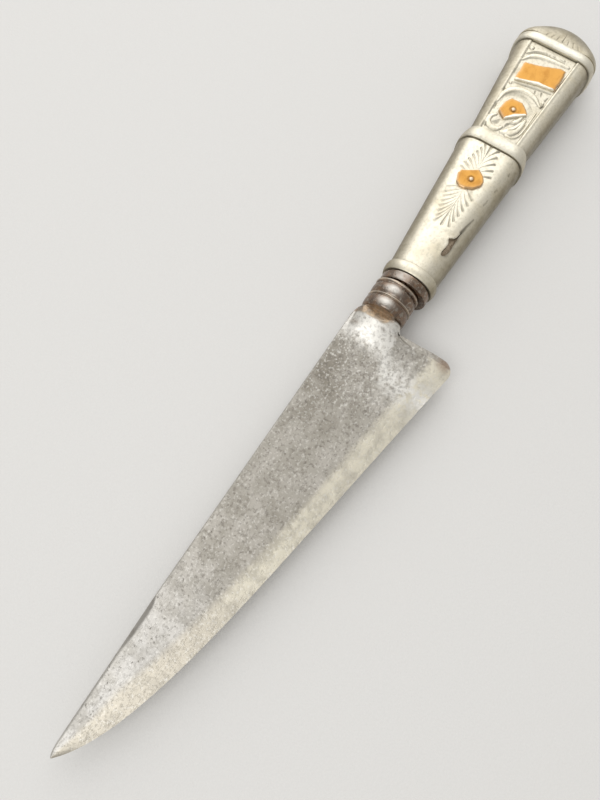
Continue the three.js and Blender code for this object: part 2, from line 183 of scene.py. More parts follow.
GRAIN_SEED_STEP = (17.3, 5.1, 9.7)
PIT_SEED_STEP = (3.7, 11.9, 7.3)


def smooth_step(low, high, value):
    """A smooth rise from 0 at the low value to 1 at the high one."""
    share = np.clip((value - low) / (high - low), 0, 1)
    return share * share * (3 - 2 * share)


def glow(value, middle, width):
    """1 at a middle, fading to 0 on both sides."""
    return np.exp(-((value - middle) / width) ** 2)


def spot(x, y, along, across):
    """A soft round mark, given by its middle and width along X and along Y."""
    return glow(x, *along) * glow(y, *across)


def lower_of(a, b, soft):
    """The lower of two heights, with the crease between them rounded."""
    share = np.clip(0.5 + (b - a) / (2 * soft), 0, 1)
    return b + (a - b) * share - soft * share * (1 - share)


def higher_of(a, b, soft):
    """The higher of two heights, with the crease between them rounded."""
    return -lower_of(-a, -b, soft)


def bezier(points, share):
    """Points on a Bezier curve at each share of its length."""
    points = [np.asarray(point, float) for point in points]
    while len(points) > 1:
        points = [a + (b - a) * share[:, None] for a, b in zip(points, points[1:])]
    return points[0]


def flowing(points, steps=6):
    """Points on a smooth curve through the given ones."""
    points = np.asarray(points, float)
    padded = np.vstack([2 * points[0] - points[1], points, 2 * points[-1] - points[-2]])
    share = np.linspace(0, 1, steps, endpoint=False)[:, None]
    pieces = []
    for a, b, c, d in zip(padded, padded[1:], padded[2:], padded[3:]):
        bend = (2 * a - 5 * b + 4 * c - d) * share + (3 * b - a - 3 * c + d) * share ** 2
        pieces.append(b + share / 2 * (c - a + bend))
    return np.vstack(pieces + [points[-1:]])


def half_round(start, end, edge, steps):
    """Places along a half-round moulding, each with its rise: 1 in the middle and less at the edges."""
    for u in np.linspace(-1, 1, steps):
        yield (start + end) / 2 + u * (end - start) / 2, math.sqrt(1 - (1 - edge ** 2) * u * u)


def grain(points, size, seed=0):
    """Smooth noise from -1 to 1 over places, with features of one size."""
    offset = Vector([seed * step for step in GRAIN_SEED_STEP])
    return np.array([noise.noise(Vector(point) / size + offset) for point in points])


def layered_grain(points, layers):
    """Noise in layers, each with the size of its features, its height and a seed."""
    return sum(height * grain(points, size, seed) for size, height, seed in layers)


def pitting(points, size, radius, seed):
    """Round pits from 0 to 1, scattered over places a certain size apart."""
    offset = Vector([seed * step for step in PIT_SEED_STEP])
    near = [noise.voronoi(Vector(point) / size + offset)[0][0] for point in points]
    return 1 - smooth_step(0, radius, np.array(near))


def nearness(places, path, half_widths):
    """How near places lie to a stroke, 1 on its middle line and 0 at its edge, and its width there."""
    path = np.asarray(path, float)
    widths = np.interp(np.linspace(0, 1, len(path)), np.linspace(0, 1, len(half_widths)), half_widths)
    near = np.zeros(len(places))
    width = np.zeros(len(places))
    margin = max(half_widths)
    low, high = path.min(0) - margin, path.max(0) + margin
    close = np.flatnonzero(np.all((places >= low) & (places <= high), axis=1))
    spots = places[close]
    for a, b, width_a, width_b in zip(path, path[1:], widths, widths[1:]):
        step = b - a
        share = np.clip((spots - a) @ step / max(step @ step, WELD), 0, 1)
        gap = np.linalg.norm(spots - a - share[:, None] * step, axis=1)
        here = width_a + (width_b - width_a) * share
        value = np.clip(1 - gap / here, 0, 1)
        better = value > near[close]
        near[close[better]] = value[better]
        width[close[better]] = here[better]
    return near, width


# Mesh helpers

def lofted(columns, rows, place):
    """A skin over a grid of columns and rows. The places come with masks, and edges that meet are welded."""
    bm = bmesh.new()
    bmesh.ops.create_grid(bm, x_segments=columns, y_segments=rows, size=0.5)
    flat = np.array([vert.co[:2] for vert in bm.verts]) + 0.5
    column = np.rint(flat[:, 0] * columns).astype(int)
    row = np.rint(flat[:, 1] * rows).astype(int)
    points, masks = place(column, row)
    layers = {name: bm.verts.layers.float.new(name) for name in masks}
    for vert, point in zip(bm.verts, points):
        vert.co = point
    for name, layer in layers.items():
        for vert, value in zip(bm.verts, masks[name]):
            vert[layer] = value
    bmesh.ops.remove_doubles(bm, verts=bm.verts, dist=WELD)
    bmesh.ops.dissolve_degenerate(bm, edges=bm.edges, dist=WELD)
    bmesh.ops.recalc_face_normals(bm, faces=bm.faces)
    return bm


def add_piece(bm, name, node, material):
    """A finished mesh as a piece that stands for its solid."""
    bmesh.ops.transform(bm, matrix=KNIFE_TO_FRAME, verts=bm.verts)
    mesh = bpy.data.meshes.new(name)
    bm.to_mesh(mesh)
    bm.free()
    mesh.shade_smooth()
    mesh.set_sharp_from_angle(angle=SHARP_ANGLE)
    mesh.materials.append(material)
    piece = bpy.data.objects.new(name, mesh)
    bpy.context.scene.collection.objects.link(piece)
    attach(piece, BODY)
    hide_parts(node)
    return piece


# Forging

BLADE_RIBS = 300
RIB_CROWDING = 1.4
HEEL_RIBS = 24
REAR_RIBS = 30
CORNER_RIBS = 10
BOLSTER_STEP = 0.13
EASE_STEPS = 5
COLLAR_STEPS = 7
SPINE_COLUMNS = 6
FLAT_COLUMNS = 58
BEVEL_COLUMNS = 18
FACE_COLUMNS = SPINE_COLUMNS + FLAT_COLUMNS + BEVEL_COLUMNS
SKIN_COLUMNS = 2 * FACE_COLUMNS + 2

# Rough skin: layers of grain in pit depths, pits and long waves, with another pattern on the back
STEEL_GRAIN = ((2.2, 0.4, 0), (0.9, 0.25, 2))
STEEL_PITS = (1.5, 0.34, 1)
LEAST_PITTING = 0.35
STEEL_WAVES = ((16, 0.02, 3),)
BACK_SHIFT = 40


def spine_at(x):
    """The spine above a place on the blade."""
    level = np.interp(x, (FALSE_EDGE_LENGTH, BLADE_LENGTH), (SPINE_CREST, SPINE_ROOT))
    to_tip = np.clip(1 - x / TIP_ROUNDING, 0, 1)
    return TIP[1] + (level - TIP[1]) * np.sqrt(1 - to_tip ** 2)


def edge_at(x):
    """The edge below a place on the blade, round the heel's corner too."""
    curve = bezier(EDGE_CURVE, np.linspace(0, 1, BLADE_RIBS))
    round_the_heel = np.clip(x - HEEL_START, 0, HEEL_RADIUS)
    rise = HEEL_RADIUS - np.sqrt(HEEL_RADIUS ** 2 - round_the_heel ** 2)
    return np.interp(x, curve[:, 0], curve[:, 1]) + rise


def blade_height(x, y):
    """Half the blade's thickness, with flats, edge bevel, false edge and eased spine."""
    spine, edge = spine_at(x), edge_at(x)
    depth = spine - edge
    lengthwise = (ROOT_THICKNESS - TIP_THICKNESS) / 2 / ROOT
    crosswise = (ROOT_THICKNESS - BEVEL_THICKNESS) / 2 / (SPINE_ROOT + HEEL_DEPTH - BEVEL_WIDTH)
    thin = EDGE_THICKNESS / 2

    def flat(y):
        half = ROOT_THICKNESS / 2 - lengthwise * (ROOT - x) - crosswise * (SPINE_ROOT - y)
        return np.maximum(half, thin)

    bevel_width = np.minimum(BEVEL_WIDTH, BEVEL_SHARE * depth) + WELD
    bevel = thin + (y - edge) * (flat(edge + bevel_width) - thin) / bevel_width
    height = lower_of(flat(y), bevel, BEVEL_SOFTNESS)
    false_width = np.interp(x, FALSE_EDGE_AT, FALSE_EDGE_WIDTHS)
    false_width = np.minimum(false_width, FALSE_EDGE_SHARE * depth) + WELD
    ground = FALSE_EDGE_THICKNESS / 2
    false_edge = ground + (spine - y) * (flat(spine - false_width) - ground) / false_width
    false_edge = np.where(x < FALSE_EDGE_LENGTH, false_edge, ROOT_THICKNESS)
    eased = flat(spine) - SPINE_EASE + (spine - y)
    return np.clip(np.minimum(np.minimum(height, false_edge), eased), thin, None)


def round_height(y, half_height, half_width, middle, squareness):
    """Half the thickness of a rounded section, from an ellipse at 2 to a square with soft corners above."""
    across = np.clip(np.abs(y - middle) / half_width, 0, 1)
    return half_height * (1 - across ** squareness) ** (1 / squareness)


def slope_height(x, y):
    """Height of the slope before the neck, which is rounded to the spine and falls evenly to the edge."""
    rise = np.interp(x, SLOPE, SLOPE_HEIGHTS)
    across = np.abs(y - BOLSTER_RISE) / NECK_SPREAD
    rounded = round_height(y, rise, NECK_SPREAD, BOLSTER_RISE, SLOPE_SQUARENESS)
    rounded = np.where(across < 1, rounded, SLOPE_FALL * (1 - across))
    gentle = rise * (1 - (np.hypot(across, SLOPE_CROWN) - SLOPE_CROWN) / SLOPE_REACH)
    gentle = gentle + (rounded - gentle) * smooth_step(*NECK_BLEND, x)
    return np.where(y < BOLSTER_RISE, gentle, rounded)


def filed_depth(x, y, height):
    """How much of the neck's height was filed away."""
    floor = np.interp(x, CUT, CUT_HEIGHTS) - CUT_TILT * (y - BOLSTER_RISE)
    floor = floor + CUT_STOP * smooth_step(CUT[1] - CUT_WALL, CUT[1] + CUT_WALL, x)
    return np.where(x > CUT[0], np.clip(height - floor, 0, None), 0)


def bolster_stations():
    """Places along the neck, beads, ridges and collar, with half the breadth and thickness at each."""
    neck = (NECK_TOP[0], BEADS[0][0])
    stations = [(x, np.interp(x, neck, (NECK_SPREAD, NECK_RADIUS)), NECK_HEIGHT)
                for x in np.arange(neck[0], neck[1] - CUT_WALL / 2, BOLSTER_STEP)]
    turned = []
    for start, end in MOULDINGS:
        for x, rise in half_round(start, end, MOULDING_EDGE, round((end - start) / BOLSTER_STEP) + 3):
            turned.append((x, VALLEY_RADIUS + (MOULDING_RADIUS - VALLEY_RADIUS) * rise))
    turned += [(COLLAR[0] - COLLAR_EASE / 4, VALLEY_RADIUS), (COLLAR[0], VALLEY_RADIUS)]
    ease = [(COLLAR_EASE * (1 - math.cos(turn)), COLLAR_RADIUS - COLLAR_EASE * (1 - math.sin(turn)))
            for turn in np.radians(np.linspace(0, 90, EASE_STEPS))]
    level = np.linspace(COLLAR[0] + 2 * COLLAR_EASE, COLLAR[1] - 2 * COLLAR_EASE, COLLAR_STEPS)
    turned += [(COLLAR[0] + along, radius) for along, radius in ease]
    turned += [(x, COLLAR_RADIUS) for x in level]
    turned += [(COLLAR[1] - along, radius) for along, radius in reversed(ease)]
    return np.array(stations + [(x, radius, radius) for x, radius in turned])


def round_ribs():
    """Ribs of the bolster and tang: place, half breadth and thickness, middle and squareness."""
    bolster = bolster_stations()
    middle = np.where(bolster[:, 0] >= COLLAR[0], 0, BOLSTER_RISE)
    square = np.interp(bolster[:, 0], (NECK_TOP[0], BEADS[0][0]), (SLOPE_SQUARENESS, TURNED_SQUARENESS))
    end, half, _ = TANG[-1]
    tang = np.array(TANG + ((end + SPINE_EASE, half - SPINE_EASE, 0),))
    return np.vstack([np.column_stack([bolster, middle, square]),
                      np.column_stack([tang, np.zeros(len(tang)), np.full(len(tang), TANG_SQUARENESS)])])


def blade_ribs():
    """Ends of the ribs across the blade, top and bottom, and how many of the last fan out round the heel."""
    bottom = bezier(EDGE_CURVE, np.linspace(0, 1, BLADE_RIBS) ** RIB_CROWDING)
    top = np.column_stack([bottom[:, 0], spine_at(bottom[:, 0])])
    turn = np.radians(np.linspace(-90, 0, HEEL_RIBS))[1:]
    heel = np.column_stack([HEEL_START + HEEL_RADIUS * np.cos(turn),
                            HEEL_RADIUS - HEEL_DEPTH + HEEL_RADIUS * np.sin(turn)])
    rear = bezier((heel[-1], REAR_EDGE_TOP), np.linspace(0, 1, REAR_RIBS))[1:]
    corner = bezier((REAR_EDGE_TOP, INNER_CORNER, NECK_FOOT), np.linspace(0, 1, CORNER_RIBS))[1:]
    fan = np.vstack([heel, rear, corner])
    spine_end = (HEEL_START, spine_at(HEEL_START))
    above = bezier((spine_end, (SLOPE[1], SPINE_ROOT), NECK_TOP), np.linspace(0, 1, len(fan) + 1))[1:]
    return np.vstack([top, above]), np.vstack([bottom, fan]), len(fan)


def rib_share(step, span):
    """How far down a blade rib a column lies. Columns crowd together on the grinds."""
    shoulder = np.minimum(FALSE_EDGE_WIDTH, FALSE_EDGE_SHARE * span) / (span + WELD)
    bevel = 1 - np.minimum(BEVEL_WIDTH, BEVEL_SHARE * span) / (span + WELD)
    along_flat = (step - SPINE_COLUMNS) / FLAT_COLUMNS
    along_bevel = (step - SPINE_COLUMNS - FLAT_COLUMNS) / BEVEL_COLUMNS
    return np.select(
        [step <= SPINE_COLUMNS, step <= SPINE_COLUMNS + FLAT_COLUMNS],
        [shoulder * step / SPINE_COLUMNS, shoulder + (bevel - shoulder) * along_flat],
        bevel + (1 - bevel) * along_bevel)


def forging_mesh(pit_depth):
    """The forging's skin: ribs from the tip to the tang's end, columns down its front and up its back."""
    top, bottom, fan = blade_ribs()
    ribs = len(top)
    x_round, spread, thick, middle, squareness = round_ribs().T
    top = np.vstack([top, np.column_stack([x_round, middle + spread])])
    bottom = np.vstack([bottom, np.column_stack([x_round, middle - spread])])
    roundness = np.concatenate([np.zeros(ribs - fan), np.linspace(0, 1, fan), np.ones(len(x_round))])

    def place(column, row):
        column = column % SKIN_COLUMNS
        front = column <= FACE_COLUMNS
        step = np.clip(np.where(front, column, SKIN_COLUMNS - 1 - column), 0, FACE_COLUMNS)
        straight = rib_share(step, top[row, 1] - bottom[row, 1])
        circular = (1 - np.cos(math.pi * step / FACE_COLUMNS)) / 2
        share = straight + (circular - straight) * roundness[row]
        x, y = (top[row] + (bottom[row] - top[row]) * share[:, None]).T

        flats = blade_height(x, y)
        height = np.where(x > SLOPE[0], higher_of(flats, slope_height(x, y), SLOPE_SOFTNESS), flats)
        at = np.clip(row - ribs, 0, len(x_round) - 1)
        turned = round_height(y, thick[at], spread[at] + WELD, middle[at], squareness[at])
        height = np.where(row >= ribs, turned, height)
        filed = filed_depth(x, y, height)
        height = height - filed

        plan = np.column_stack([x, y, np.where(front, 0, BACK_SHIFT)])
        masks = {**blade_masks(x, y), **bolster_masks(x, y, filed)}
        pits = pitting(plan, *STEEL_PITS) * (LEAST_PITTING + masks["scoured"])
        sunk = pit_depth * (layered_grain(plan, STEEL_GRAIN) - pits) + layered_grain(plan, STEEL_WAVES)
        solid = smooth_step(EDGE_THICKNESS, 4 * EDGE_THICKNESS, height)
        height = height + sunk * solid * (x < COLLAR[1])
        return np.column_stack([x, y, np.where(front, height, -height)]), masks

    return lofted(SKIN_COLUMNS, len(top) - 1, place)


# Where the blade's finishes lie
GROUND_AT = (0, 60, 85, 115)
GROUND_BREADTHS = (1.4, 1.1, 1.15, 1.35)
GROUND_RIM = (0.75, 1.25)
GROUND_PAST_HEEL = 2
KEEN_FROM = (40, 62)
PALE_UNTIL = (30, 62)
MOTTLED_FROM = (98, 116)
SCOURED_Y = (-14, -8, -4.5, 8)
SCOURED_X = (119.5, 121, 125.8, 127)
SCOURED_WIDTHS = (4.6, 4.6, 2.9, 2.9)
DARK_FROM = (4, 10)
DARK_DEEPENS = (27, 31)
DARK_AMOUNTS = (0.35, 1)
DARK_RIM = (0.6, 1.1)
HEEL_SHADE = (110, 15)
HEEL_SHADE_RISE = (-12, 6)
MIDDLE_SHADE = (68, 20)
MIDDLE_SHADE_AMOUNT = 0.4


def blade_masks(x, y):
    """Where the blade is ground, keen, scoured, dark, shaded, pale or mottled."""
    from_edge, from_spine = y - edge_at(x), spine_at(x) - y
    band = np.minimum(BEVEL_WIDTH, BEVEL_SHARE * (from_edge + from_spine))
    band = band * np.interp(x, GROUND_AT, GROUND_BREADTHS) + WELD
    ground = 1 - smooth_step(GROUND_RIM[0] * band, GROUND_RIM[1] * band, from_edge)
    ground = np.where(x < HEEL_START + GROUND_PAST_HEEL, ground, 0)
    before_neck = x < SLOPE[1]
    scoured = glow(x, np.interp(y, SCOURED_Y, SCOURED_X), np.interp(y, SCOURED_Y, SCOURED_WIDTHS))
    dark = 1 - smooth_step(*DARK_RIM, from_spine / np.interp(x, FALSE_EDGE_AT, FALSE_EDGE_WIDTHS))
    dark = dark * smooth_step(*DARK_FROM, x) * np.interp(x, DARK_DEEPENS, DARK_AMOUNTS)
    shade = glow(x, *HEEL_SHADE) * smooth_step(*HEEL_SHADE_RISE, y)
    shade = shade + MIDDLE_SHADE_AMOUNT * glow(x, *MIDDLE_SHADE)
    return {
        "ground": ground,
        "keen": ground * smooth_step(*KEEN_FROM, x),
        "scoured": scoured * before_neck,
        "dark": dark * (x < FALSE_EDGE_LENGTH),
        "shade": np.clip(shade, 0, 1),
        "pale": (1 - smooth_step(*PALE_UNTIL, x)) * (1 - ground),
        "mottled": smooth_step(*MOTTLED_FROM, x) * before_neck * (1 - ground),
    }


# Where the bolster's finishes lie, with spots as middles and widths along X and along Y
CREST_FROM = (124.5, 127.5)
CREST_END_Y = (-3.5, -0.5)
CREST_END_X = (133.6, 131)
CREST_FADE = 0.5
CREST_MARGIN = 0.4
CREST_NOTCH = ((128.2, 0.7), (6.4, 1.5))
CORNER_PIT = ((130.4, 0.6), (-5.3, 0.7))
HEEL_RUST = ((131.5, 2.2), (-20.5, 2.6))
RUST_COVER = 0.75
RIDGE_GLOW = 0.25
BEAD_GLOW = 1.1
# Pale steel on the fronts of the beads and collar, on the ridges and along the spine's edge: wear, with a
# painted highlight
WEAR_AND_HIGHLIGHT_STRIP = (1.8, 2)
BEAD_WEAR_AND_HIGHLIGHT = 0.8
COLLAR_WEAR_AND_HIGHLIGHT = 0.35
RIDGE_WEAR_AND_HIGHLIGHT = 0.35
SPINE_WEAR_AND_HIGHLIGHT = 0.7
SPINE_LINE = 0.25
BROWN_LEAD = 0.8
BROWN_UNWORN = 0.7
NECK_BROWN = 0.6
NECK_BROWN_FROM = (-0.4, 0.7)
NECK_BROWN_RISE = (-4, -1)
CUT_BROWN = 0.1
CUT_BROWN_DEPTHS = (0.05, 0.6)
GOLDEN_Y = (4, 7)
GOLDEN_AMOUNTS = (1, 0.15)


def bolster_masks(x, y, filed):
    """Where the bolster shows wear and painted highlight, where it is brown or golden, and where it and the
    heel are rusty.
    """
    notch, pit = spot(x, y, *CREST_NOTCH), spot(x, y, *CORNER_PIT)
    past_crest = smooth_step(-CREST_FADE, CREST_FADE, x - np.interp(y, CREST_END_Y, CREST_END_X))
    crest = smooth_step(*CREST_FROM, x) * (1 - past_crest) * (1 - RUST_COVER * np.maximum(notch, pit))
    crest = crest * (np.abs(y - BOLSTER_RISE) < NECK_SPREAD + CREST_MARGIN)
    ridges = sum(glow(x, (start + end) / 2, RIDGE_GLOW) for start, end in RIDGES)
    beads = sum(glow(x, (start + end) / 2, BEAD_GLOW) for start, end in BEADS)
    # The crest, the bead and collar fronts, the spine's edge and the ridges are painted pale: wear, and a
    # painted highlight
    rubbed_and_highlit = glow(y, *WEAR_AND_HIGHLIGHT_STRIP) * (BEAD_WEAR_AND_HIGHLIGHT * beads + COLLAR_WEAR_AND_HIGHLIGHT * (x > COLLAR[0]))
    spine_line = np.exp((y - spine_at(x)) / SPINE_LINE) * (x < SLOPE[1])
    worn_and_highlit = np.clip(crest + rubbed_and_highlit + SPINE_WEAR_AND_HIGHLIGHT * spine_line + RIDGE_WEAR_AND_HIGHLIGHT * ridges, 0, 1)
    on_beads = smooth_step(BEADS[0][0] - BROWN_LEAD, BEADS[0][0], x)
    on_neck = smooth_step(*NECK_BROWN_FROM, x - SLOPE[1]) * smooth_step(*NECK_BROWN_RISE, y)
    brown = np.maximum(on_beads, NECK_BROWN * on_neck) * (1 - BROWN_UNWORN * worn_and_highlit) * (y > REAR_EDGE_TOP[1])
    golden = on_neck * (1 - on_beads) * np.interp(y, GOLDEN_Y, GOLDEN_AMOUNTS) + ridges
    return {
        "worn_and_highlit": worn_and_highlit,
        "brown": np.clip(brown + CUT_BROWN * smooth_step(*CUT_BROWN_DEPTHS, filed), 0, 1),
        "golden": np.clip(golden, 0, 1),
        "rusty": np.clip(spot(x, y, *HEEL_RUST) + notch + pit, 0, 1),
    }


# Handle

INSIDE_ROWS = 6
RING_ROWS = 16
COARSE_STEP = 0.6
FINE_STEP = 0.14
HANDLE_DENTS = ((6, 0.025, 0), (2.4, 0.01, 5))

# Dirt in the joints at each piece's blade end and pommel end
DIRT_REACH = 0.3
RING_DIRT = (0.3, 0.08)
SLEEVE_DIRT = (0.2, 0.5)

# Painted shade on what turns away from the front, and on the spine side
CORNER_SHADE = 0.6
CORNER_FACING = 0.98
CORNER_SPREAD = 0.35
SIDE_FACING = (0.25, 0.97)
SPINE_SHADE = 0.75
SPINE_SIDE = (0.6, 0.85)


def walk_of(column, columns):
    """How far round the section's walk a column lies, where each stretch has its count of columns."""
    ends = np.concatenate([[0], np.cumsum(columns)])
    return np.interp(column, ends, range(len(ends)))


def on_walk(walk):
    """Which way the section faces at places on its walk, and which side and level they are on."""
    knots = range(len(WALK_TURNS))
    return [np.interp(walk, knots, values) for values in (np.radians(WALK_TURNS), WALK_ACROSS, WALK_UP)]


def section_place(x, grow, walk):
    """Places on the handle's section, grown outwards, with the way out across and up."""
    half_width = np.interp(x, SECTION_AT, HALF_WIDTHS)
    corner = np.interp(x, SECTION_AT, CORNERS)
    flat, side, bend = half_width - corner, 2 * (HALF_HEIGHT - corner), math.pi / 2 * corner
    lengths = np.array([flat, bend, side, bend, 2 * flat, bend, side, bend, flat])
    starts = np.cumsum(lengths, axis=0) - lengths
    run = (np.clip(walk - np.arange(len(lengths))[:, None], 0, 1) * lengths).sum(0)
    points = np.zeros((len(x), 3))
    out = np.zeros((len(x), 3))
    for shift in SOFTENING:
        moved = (run + shift) % lengths.sum(0)
        turn, across, up = on_walk(np.clip((moved - starts) / lengths, 0, 1).sum(0))
        way = np.column_stack([np.zeros(len(x)), np.cos(turn), np.sin(turn)])
        middle = np.column_stack([x, across * (half_width - corner), up * (HALF_HEIGHT - corner)])
        points += middle + (corner + grow)[:, None] * way
        out += way
    return points / len(SOFTENING), out / np.linalg.norm(out, axis=1)[:, None]


def side_shade(x, y, facing):
    """Painted shade on the corners and sides, by how far they face the front."""
    corner = np.clip((CORNER_FACING - facing) / CORNER_SPREAD, 0, 1)
    side = 1 - smooth_step(*SIDE_FACING, facing)
    spine = smooth_step(*SPINE_SIDE, y / np.interp(x, SECTION_AT, HALF_WIDTHS))
    return np.maximum(CORNER_SHADE * corner + (1 - CORNER_SHADE) * side, SPINE_SHADE * spine)


def handle_skin(profile, columns, relief, darkened=1, polished=0):
    """A wall round the handle whose profile returns to its start, with relief worked into its outside."""
    along, growth = np.array(profile).T

    def place(column, row):
        x, grow = along[row], growth[row]
        points, out = section_place(x, grow, walk_of(column, columns))
        outside = (grow > -SHEET) * 1.0
        height, tarnish_and_shade = relief(points, out)
        height = height + layered_grain(points, HANDLE_DENTS)
        masks = {
            "tarnish_and_shade": tarnish_and_shade,
            # The side mask is painted shade on the handle's corners, sides and spine side
            "side": darkened * side_shade(x, points[:, 1], out[:, 2]),
            "polished": np.full(len(points), polished),
        }
        return points + out * (height * outside)[:, None], masks

    return lofted(sum(columns), len(profile) - 1, place)


def wall(outside, inside_rows=INSIDE_ROWS):
    """A closed profile: outside rows, then a plain inside."""
    end, start = outside[-1][0], outside[0][0]
    inside = [(x, -SHEET) for x in np.linspace(end, start, inside_rows)]
    return outside + inside + outside[:1]


def ring_profile(start, end):
    """A ring's closed profile, half round outside."""
    return wall([(x, RING_PROUD * rise) for x, rise in half_round(start, end, RING_EDGE, RING_ROWS)])


def sleeve_rows(start, end, fine):
    """Rows of a sleeve's outside, close together along the fine stretch, with eased rims."""
    places = [start + RIM_EASE, end - RIM_EASE]
    places += list(np.arange(start + 2 * RIM_EASE, fine[0], COARSE_STEP))
    places += list(np.arange(fine[0], fine[1], FINE_STEP))
    places += list(np.arange(fine[1], end - 2 * RIM_EASE, COARSE_STEP))
    return [(start, -RIM_EASE)] + [(x, 0) for x in sorted(places)] + [(end, -RIM_EASE)]


def joint_dirt(x, span, amounts):
    """Dirt beside a piece's two joints."""
    gaps = (x - span[0], span[1] - x)
    return np.maximum(*[amount * np.exp(-gap / DIRT_REACH) for gap, amount in zip(gaps, amounts)])


def plain_relief(span):
    """A plain surface that is dirty beside its joints only."""
    def relief(points, out):
        return np.zeros(len(points)), joint_dirt(points[:, 0], span, RING_DIRT)
    return relief


# Engraving: the dirt in a cut spreads past it and is darkest where the cut is broad

OUT_OF_REACH = -99
FRONT_FACING = 0.2
CUT_DIRT_SPREAD = 1.3
CUT_DIRT_RIM = 0.7
CUT_DIRT = (0.25, 0.45)


def front_places(points, on_front):
    """X and Y of places on the front, with all others moved out of reach of any stroke."""
    return np.where(on_front[:, None], points[:, :2], OUT_OF_REACH)


def gouged(places, cuts, depth):
    """Depth of tapering gouge cuts and the darkening in them: dirt, and painted shadow in cuts that stand for
    a shadow.
    A cut has a path, half widths and its amount of darkening.
    """
    sunk = np.zeros(len(places))
    dirt = np.zeros(len(places))
    for path, widths, amount in cuts:
        broadest = max(widths)
        near, width = nearness(places, path, widths)
        sunk = np.maximum(sunk, depth * width / broadest * np.sqrt(near) * (near > 0))
        near, width = nearness(places, path, [CUT_DIRT_SPREAD * half for half in widths])
        level = CUT_DIRT[0] + CUT_DIRT[1] * width / broadest
        dirt = np.maximum(dirt, amount * smooth_step(0, CUT_DIRT_RIM, near) * level)
    return sunk, dirt


# Lower sleeve: two sprays of gouged strokes round the rosette, a tear and its crack
LOWER_FINE = (154.5, LOWER[1] - 0.3)
LOWER_INSIDE_ROWS = 90
SPRAY_STEM_Y = 0.6
GOUGE_STEPS = 9
SPRAY_WIDTHS = (0.09, 0.16, 0.42)
SPRAY_SHORTENING = 0.45
BARB_TAIL = 0.12
BARB_BEND = (0.45, 0.4)
STEM_DIRT = 0.45

# A spray has a stem and two sides, each with its first and last stroke's head, a count and an amount of dirt.
SPRAYS = (
    {"stem": (164, 175.5), "lean": 5.2,
     "sides": (((164, 2.8), (175.6, 5.1), 8, 0.4), ((164.6, -1.5), (175.2, -3), 6, 0.55))},
    {"stem": (193.3, 185.8), "lean": -4.4,
     "sides": (((193.2, 2.4), (183.4, 5.1), 7, 0.4), ((193.2, -1.9), (184.3, -3.9), 5, 0.9))},
)
TEAR = ((155.8, -4), (157, -3.55), (158.6, -3.8), (160.1, -3.85), (160.9, -3.35), (161.5, -3.4),
        (162.3, -4.5), (163.6, -5.05), (166.4, -5.4), (163.2, -5.35), (161.2, -5.35), (158.4, -5.3),
        (156.6, -4.85))
TEAR_RAGGEDNESS = 0.14
TEAR_GRAIN = 0.4
LIP_WIDTH = 0.9
LIP_HEIGHT = 0.12
# Painted shade on the lip round the tear's torn edge
LIP_SHADE = 0.55
CRACK = ((165, -5.25), (167.4, -5.6), (169.2, -5.95), (170.8, -6.25))
CRACK_WIDTHS = (0.5, 0.22)
CRACK_DIRT = 1.3
WEAR_CUTS = (((176.3, -6.5), (177.2, -6.7), (178.1, -6.7)), ((181.8, -7.1), (182.6, -7.35)),
             ((188.7, -7.9), (189.3, -7.85)))
WEAR_WIDTHS = (0.4, 0.3)
WEAR_DIRT = 0.6


def barb(head, lean):
    """One stroke of a spray: out of the stem, then bending away to its head."""
    rise = head[1] - SPRAY_STEM_Y
    tail = (head[0] + lean, SPRAY_STEM_Y + BARB_TAIL * rise)
    bend = (head[0] + BARB_BEND[0] * lean, SPRAY_STEM_Y + BARB_BEND[1] * rise)
    return bezier((tail, bend, head), np.linspace(0, 1, GOUGE_STEPS))


def spray_cuts(spray):
    """The cuts of a spray: the strokes of both sides and the stem."""
    cuts = []
    for first, last, count, dirt in spray["sides"]:
        for share in np.linspace(0, 1, count):
            head = np.array(first) + share * (np.array(last) - np.array(first))
            cuts.append((barb(head, spray["lean"] * (1 - SPRAY_SHORTENING * share)), SPRAY_WIDTHS, dirt))
    tip, root = spray["stem"]
    stem = np.column_stack([np.linspace(root, tip, GOUGE_STEPS), np.full(GOUGE_STEPS, SPRAY_STEM_Y)])
    return cuts + [(stem, SPRAY_WIDTHS, STEM_DIRT)]


def lower_relief(depth):
    """Sprays, crack and wear cut into the lower sleeve, and the raised lip of its tear with painted shade
    round it.
    """
    cuts = [cut for spray in SPRAYS for cut in spray_cuts(spray)]
    cuts.append((flowing(CRACK), CRACK_WIDTHS, CRACK_DIRT))
    cuts += [(path, WEAR_WIDTHS, WEAR_DIRT) for path in WEAR_CUTS]
    tear = flowing(TEAR + TEAR[:1], 4)

    def relief(points, out):
        places = front_places(points, out[:, 2] > FRONT_FACING)
        sunk, dirt = gouged(places, cuts, depth)
        lip, _ = nearness(places, tear, (LIP_WIDTH, LIP_WIDTH))
        joints = joint_dirt(points[:, 0], LOWER, SLEEVE_DIRT)
        # The lip round the tear is darkened as painted shade
        return LIP_HEIGHT * lip - sunk, np.maximum.reduce([dirt, joints, LIP_SHADE * lip ** 2])

    return relief


def inside_outline(points, outline):
    """Which places lie inside a closed outline, by counting the sides to one side of each."""
    x, y = points[:, 0], points[:, 1]
    inside = np.zeros(len(points), bool)
    for (ax, ay), (bx, by) in zip(outline, np.roll(outline, -1, axis=0)):
        if ay == by:
            continue
        crossing = ax + (y - ay) / (by - ay) * (bx - ax)
        inside ^= ((ay > y) != (by > y)) & (x < crossing)
    return inside


def front_height(x, y, grow):
    """Height of the handle's rounded front over a place."""
    half_width = np.interp(x, SECTION_AT, HALF_WIDTHS)
    corner = np.interp(x, SECTION_AT, CORNERS)
    past_flat = max(abs(y) - half_width + corner, 0)
    return HALF_HEIGHT - corner + math.sqrt((corner + grow) ** 2 - past_flat ** 2)


def nearest_on(path, place):
    """The place on a path that is nearest to another."""
    spots = []
    for a, b in zip(path, path[1:]):
        step = b - a
        share = min(max((place - a) @ step / max(step @ step, WELD), 0), 1)
        spots.append(a + share * step)
    return min(spots, key=lambda found: np.linalg.norm(found - place))


